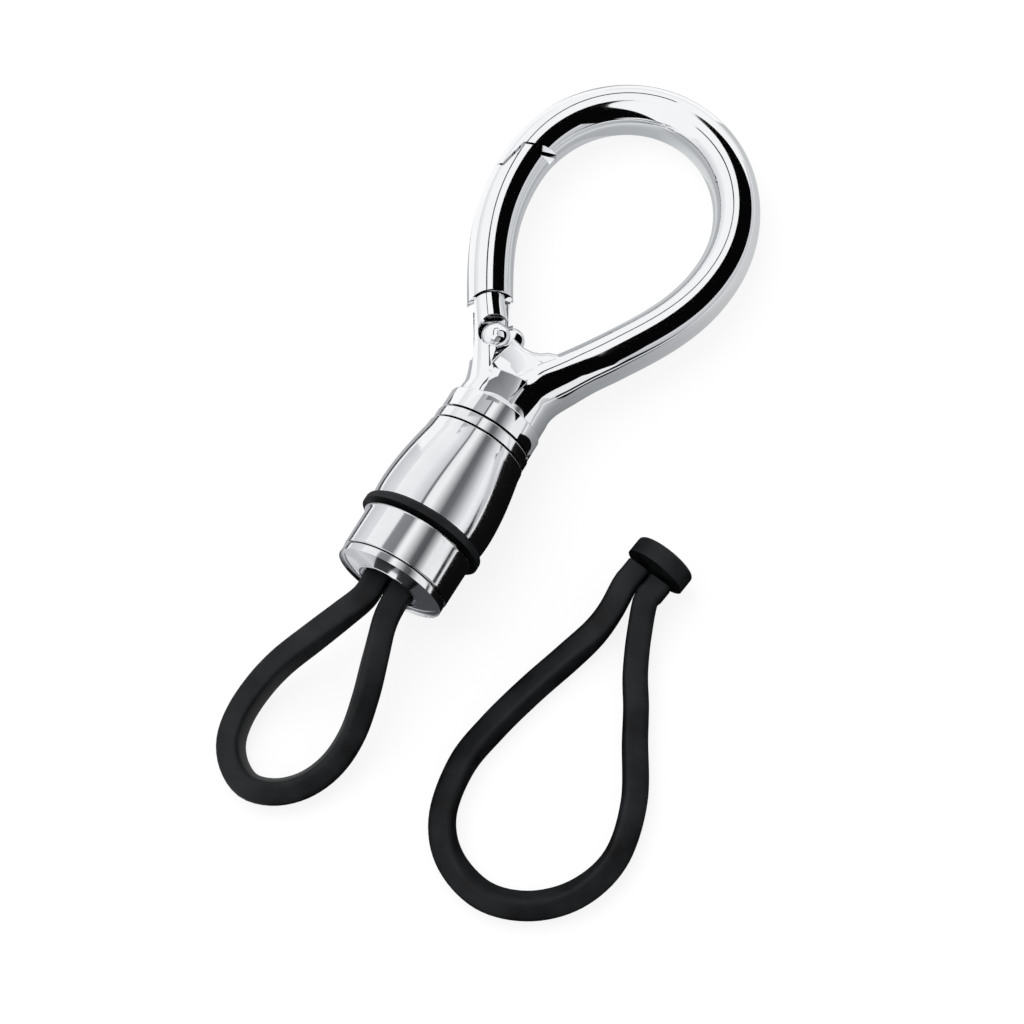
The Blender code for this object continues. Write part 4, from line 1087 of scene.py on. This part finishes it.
class KEYCHAIN_OT_barrel(bpy.types.Operator):
    """Makes the barrel's turned shell, rings, band and end cap, and finishes the steel parts"""

    bl_idname = "keychain.barrel"
    bl_label = "Barrel"

    def execute(self, context):
        finish = context.scene.keychain_finish
        chrome, rubber = turned_chrome(finish.metal), black_rubber(finish.rubber)
        ceiling = SHELL_TOP - SHELL_CEILING
        recess_top = CAP_FOOT + RECESS_DEPTH
        plug_top = RIM_TOP + PLUG_LENGTH
        pieces = [
            ("turned_swivel_ring", "swivel_ring", chrome, "barrel", "chrome", [
                (SWIVEL_RING_RADIUS, SWIVEL_RING_TOP, TURNED_ROUND),
                (SWIVEL_RING_RADIUS, SWIVEL_RING_FOOT, TURNED_ROUND),
                (BOSS_BORE, SWIVEL_RING_FOOT), (BOSS_BORE, SWIVEL_RING_TOP),
            ]),
            ("turned_barrel", "barrel_shell", chrome, "barrel", "chrome", [
                (SHELL_TOP_RADIUS, SHELL_TOP, TURNED_ROUND), *self.belly(), (SHELL_FOOT_RADIUS, SHELL_FOOT),
                (SHELL_BORE, SHELL_FOOT), (SHELL_BORE, ceiling), (BOSS_BORE, ceiling), (BOSS_BORE, SHELL_TOP),
            ]),
            ("rubber_band", "band_ring", rubber, "barrel", "rubber", [
                (BAND_RADIUS, BAND_TOP, BAND_ROUND), (BAND_RADIUS, BAND_FOOT, BAND_ROUND),
                (BAND_BORE, BAND_FOOT), (BAND_BORE, BAND_TOP),
            ]),
            ("turned_cap", "cap_sleeve", chrome, "cap", "chrome", [
                (THREAD_RADIUS, THREAD_TOP), (THREAD_RADIUS, CAP_TOP), (CAP_TOP_RADIUS, CAP_TOP, CAP_ROUND),
                (CAP_FOOT_RADIUS, CAP_FOOT, CAP_ROUND), (RECESS_RADIUS, CAP_FOOT), (RECESS_RADIUS, recess_top),
                (HOLE_RADIUS, recess_top), (HOLE_RADIUS, THREAD_TOP),
            ]),
            ("turned_end_ring", "end_ring", chrome, "cap", "chrome", [
                (PLUG_RADIUS, plug_top), (PLUG_RADIUS, RIM_TOP), (RIM_RADIUS, RIM_TOP, RIM_ROUND),
                (RIM_RADIUS, RIM_FOOT, RIM_FOOT_ROUND), (HOLE_RADIUS, RIM_FOOT, RIM_HOLE_ROUND),
                (HOLE_RADIUS, plug_top),
            ]),
        ]
        for name, node, coat, body, slot, corners in pieces:
            made = turned(name, eased(corners), coat)
            settled(laid_down(made), coat, body, slot, node)
        steel = bright_steel()
        for node in ("swivel_screw", "thrust_washer", "gate_spring"):
            data = frame["nodes"][node].data
            data.materials.clear()
            data.materials.append(steel)
        return {"FINISHED"}

    @staticmethod
    def belly():
        """The shell's curve: it swells down to its fullest place, and then draws in a little."""
        top = SHELL_TOP - SHELL_SHOULDER
        corners = []
        for step in range(1, BELLY_STEPS):
            share = step / BELLY_STEPS
            swell = SHELL_SWELL * math.sin(math.pi / 2 * min(1.0, share / BELLY_SHARE))
            fall = SHELL_FALL * (max(0.0, share - BELLY_SHARE) / (1 - BELLY_SHARE)) ** 2
            corners.append((SHELL_TOP_RADIUS + swell - fall, top - (top - SHELL_FOOT) * share))
        return corners


class KeychainStage(bpy.types.PropertyGroup):
    floor_colour: bpy.props.FloatVectorProperty(
        name="Floor colour",
        description="Colour of the floor under the object",
        subtype="COLOR",
        size=4,
        default=linear("ffffff"),
    )
    soft_light: bpy.props.FloatProperty(
        name="Soft light",
        description="Strength of the even light from all round",
        default=0.72,
    )
    key_power: bpy.props.FloatProperty(
        name="Key light",
        description="Power of the large soft light above and to the left",
        default=16.0,
        unit="POWER",
    )


class KEYCHAIN_OT_stage(bpy.types.Operator):
    """Makes the pale floor, the soft studio light and the cards that the chrome reflects"""

    bl_idname = "keychain.stage"
    bl_label = "Floor and light"

    def execute(self, context):
        stage = context.scene.keychain_stage
        edge = DOME_RADIUS * 2
        floor = grid_of("floor", [[(x, y, 0) for x in (-edge, edge)] for y in (-edge, edge)])
        floor.location.z = -FLOOR_DEPTH
        floor.data.materials.append(floor_paper(stage.floor_colour))

        turn = Matrix.Rotation(AZIMUTH, 3, "Z")
        back = turn @ Vector((0, -math.cos(ELEVATION), math.sin(ELEVATION)))
        flat = LAID.to_3x3() @ Vector((0, 0, 1))
        shown = flat * (2 * back.dot(flat)) - back
        right = turn @ Vector((1, 0, 0))
        right = (right - shown * right.dot(shown)).normalized()
        above = shown.cross(right)
        for name, near_shade, far_shade, lines in DOME_CARDS:
            rows = []
            for bearing, near, far in eased_lines(lines):
                way = right * math.cos(bearing) + above * math.sin(bearing)
                row = []
                for step in range(FAN_STEPS + 1):
                    share = step / FAN_STEPS
                    lean = near + (far - near) * share
                    place = CAMERA_TARGET + (shown * math.cos(lean) + way * math.sin(lean)) * DOME_RADIUS
                    row.append((place, Vector(linear(near_shade)).lerp(Vector(linear(far_shade)), share)))
                rows.append(row)
            hang(name, rows)
        start_y = SWIVEL["pos_m"][1]
        for name, height, foot, top, stops in LEVEL_CARDS:
            hang(name, [
                [(Vector((stop[0] * MM, y * MM + start_y, height * MM)), linear(stop[end])) for stop in stops]
                for y, end in ((foot, 1), (top, -1))
            ])
        for name, shades, rows in CORNER_CARDS:
            hang(name, [
                [(Vector((x, y, z)) * MM + Vector((0, start_y, 0)), linear(shade)) for x, y, z in row]
                for shade, row in zip(shades, rows)
            ])

        lamp = bpy.data.lights.new("key_light", "AREA")
        lamp.shape = "DISK"
        lamp.size = DOME_RADIUS
        lamp.energy = stage.key_power
        key = bpy.data.objects.new("key_light", lamp)
        way = turn @ LAMP_WAY
        key.matrix_world = Matrix.Translation(way * DOME_RADIUS) @ way.to_track_quat("Z", "Y").to_matrix().to_4x4()
        key.visible_glossy = False
        context.scene.collection.objects.link(key)
        self.surround(context.scene, stage.soft_light)
        context.scene.view_settings.view_transform = "Standard"
        return {"FINISHED"}

    @staticmethod
    def surround(scene, soft_light):
        """White all round: at full white where the camera or the metal sees it, softer as light."""
        world = bpy.data.worlds.new("studio")
        scene.world = world
        world.use_nodes = True
        tree = world.node_tree
        tree.nodes.clear()
        white = linear("ffffff")
        light = add(tree, "ShaderNodeBackground", Color=white, Strength=soft_light)
        shown = add(tree, "ShaderNodeBackground", Color=white, Strength=1.0)
        both = add(
            tree, "ShaderNodeMixShader", [(0, seen_rays(tree)), (1, light.outputs[0]), (2, shown.outputs[0])]
        )
        add(tree, "ShaderNodeOutputWorld", [("Surface", both.outputs[0])])


def eased_lines(lines):
    """Fan lines in radians, with more between them."""
    fine = []
    for start, end in zip(lines, lines[1:]):
        for step in range(FAN_STEPS):
            fine.append([math.radians(a + (b - a) * step / FAN_STEPS) for a, b in zip(start, end)])
    return fine + [[math.radians(value) for value in lines[-1]]]


def grid_of(name, rows):
    """A mesh from equal rows of places."""
    places = [tuple(place) for row in rows for place in row]
    width = len(rows[0])
    faces = [
        (first, first + 1, first + width + 1, first + width)
        for first in range(len(places) - width)
        if first % width != width - 1
    ]
    mesh = bpy.data.meshes.new(name)
    mesh.from_pydata(places, [], faces)
    made = bpy.data.objects.new(name, mesh)
    bpy.context.scene.collection.objects.link(made)
    return made


def hang(name, rows):
    """A studio card that only reflections show, from rows of places with their shades."""
    card = grid_of(name, [[place for place, _ in row] for row in rows])
    shades = card.data.color_attributes.new("shade", "FLOAT_COLOR", "POINT")
    shades.data.foreach_set("color", [value for row in rows for _, shade in row for value in shade])
    for seen_by in ("camera", "diffuse", "transmission", "volume_scatter", "shadow"):
        setattr(card, f"visible_{seen_by}", False)
    card.data.materials.append(studio_card())


def studio_card():
    """A card in the studio, at the shade that its mesh carries."""

    def build(tree, _):
        tree.nodes.clear()
        shade = add(tree, "ShaderNodeAttribute", attribute_name="shade")
        glow = add(tree, "ShaderNodeEmission", [("Color", shade.outputs["Color"])], Strength=1.0)
        add(tree, "ShaderNodeOutputMaterial", [("Surface", glow.outputs[0])])

    return material("studio_card", build)


def seen_rays(tree):
    """One for the rays by which the camera, the metal or glass sees a surface, and zero for the light's."""
    rays = add(tree, "ShaderNodeLightPath").outputs
    direct = maths(tree, "ADD", rays["Is Camera Ray"], rays["Is Glossy Ray"])
    seen = maths(tree, "ADD", direct, rays["Is Transmission Ray"])
    seen.node.use_clamp = True
    return seen


def floor_paper(colour):
    """White paper roll: matt, and bright enough to the camera to leave only a faint shadow."""

    def build(tree, shader):
        for name, value in (("Base Color", colour), ("Roughness", 0.9), ("Specular IOR Level", 0.0)):
            shader.inputs[name].default_value = value
        share = maths(tree, "MULTIPLY", seen_rays(tree), BACKLIT_SHARE)
        lit = add(tree, "ShaderNodeEmission", Color=colour, Strength=1.0)
        both = add(tree, "ShaderNodeMixShader", [(0, share), (1, shader.outputs["BSDF"]), (2, lit.outputs[0])])
        tree.links.new(both.outputs[0], tree.nodes["Material Output"].inputs["Surface"])

    return material("white_paper_roll", build)


class KEYCHAIN_PT_panel(bpy.types.Panel):
    """Lists the pieces and their sizes"""

    bl_label = "Carabiner keychain"
    bl_idname = "KEYCHAIN_PT_panel"
    bl_space_type = "VIEW_3D"
    bl_region_type = "UI"
    bl_category = "Keychain"

    def draw(self, context):
        for settings, names in SETTINGS:
            for name in names:
                self.layout.prop(getattr(context.scene, settings), name)
        for operator in OPERATORS:
            self.layout.operator(operator.bl_idname)


SETTINGS = (
    ("keychain_hook", ("half_width", "half_height")),
    ("keychain_cords", ("width",)),
    ("keychain_finish", ("metal", "rubber")),
    ("keychain_stage", ("floor_colour", "soft_light", "key_power")),
)
OPERATORS = (
    KEYCHAIN_OT_camera, KEYCHAIN_OT_cords, KEYCHAIN_OT_hook, KEYCHAIN_OT_gate, KEYCHAIN_OT_barrel, KEYCHAIN_OT_stage,
)
CLASSES = (KeychainHook, KeychainCords, KeychainFinish, KeychainStage, *OPERATORS, KEYCHAIN_PT_panel)


def register():
    for made in CLASSES:
        bpy.utils.register_class(made)
    bpy.types.Scene.keychain_hook = bpy.props.PointerProperty(type=KeychainHook)
    bpy.types.Scene.keychain_cords = bpy.props.PointerProperty(type=KeychainCords)
    bpy.types.Scene.keychain_finish = bpy.props.PointerProperty(type=KeychainFinish)
    bpy.types.Scene.keychain_stage = bpy.props.PointerProperty(type=KeychainStage)


def unregister():
    del bpy.types.Scene.keychain_stage
    del bpy.types.Scene.keychain_finish
    del bpy.types.Scene.keychain_cords
    del bpy.types.Scene.keychain_hook
    for made in reversed(CLASSES):
        bpy.utils.unregister_class(made)


def main():
    register()
    for operator in OPERATORS:
        group, name = operator.bl_idname.split(".")
        getattr(getattr(bpy.ops, group), name)()


if __name__ == "__main__":
    main()
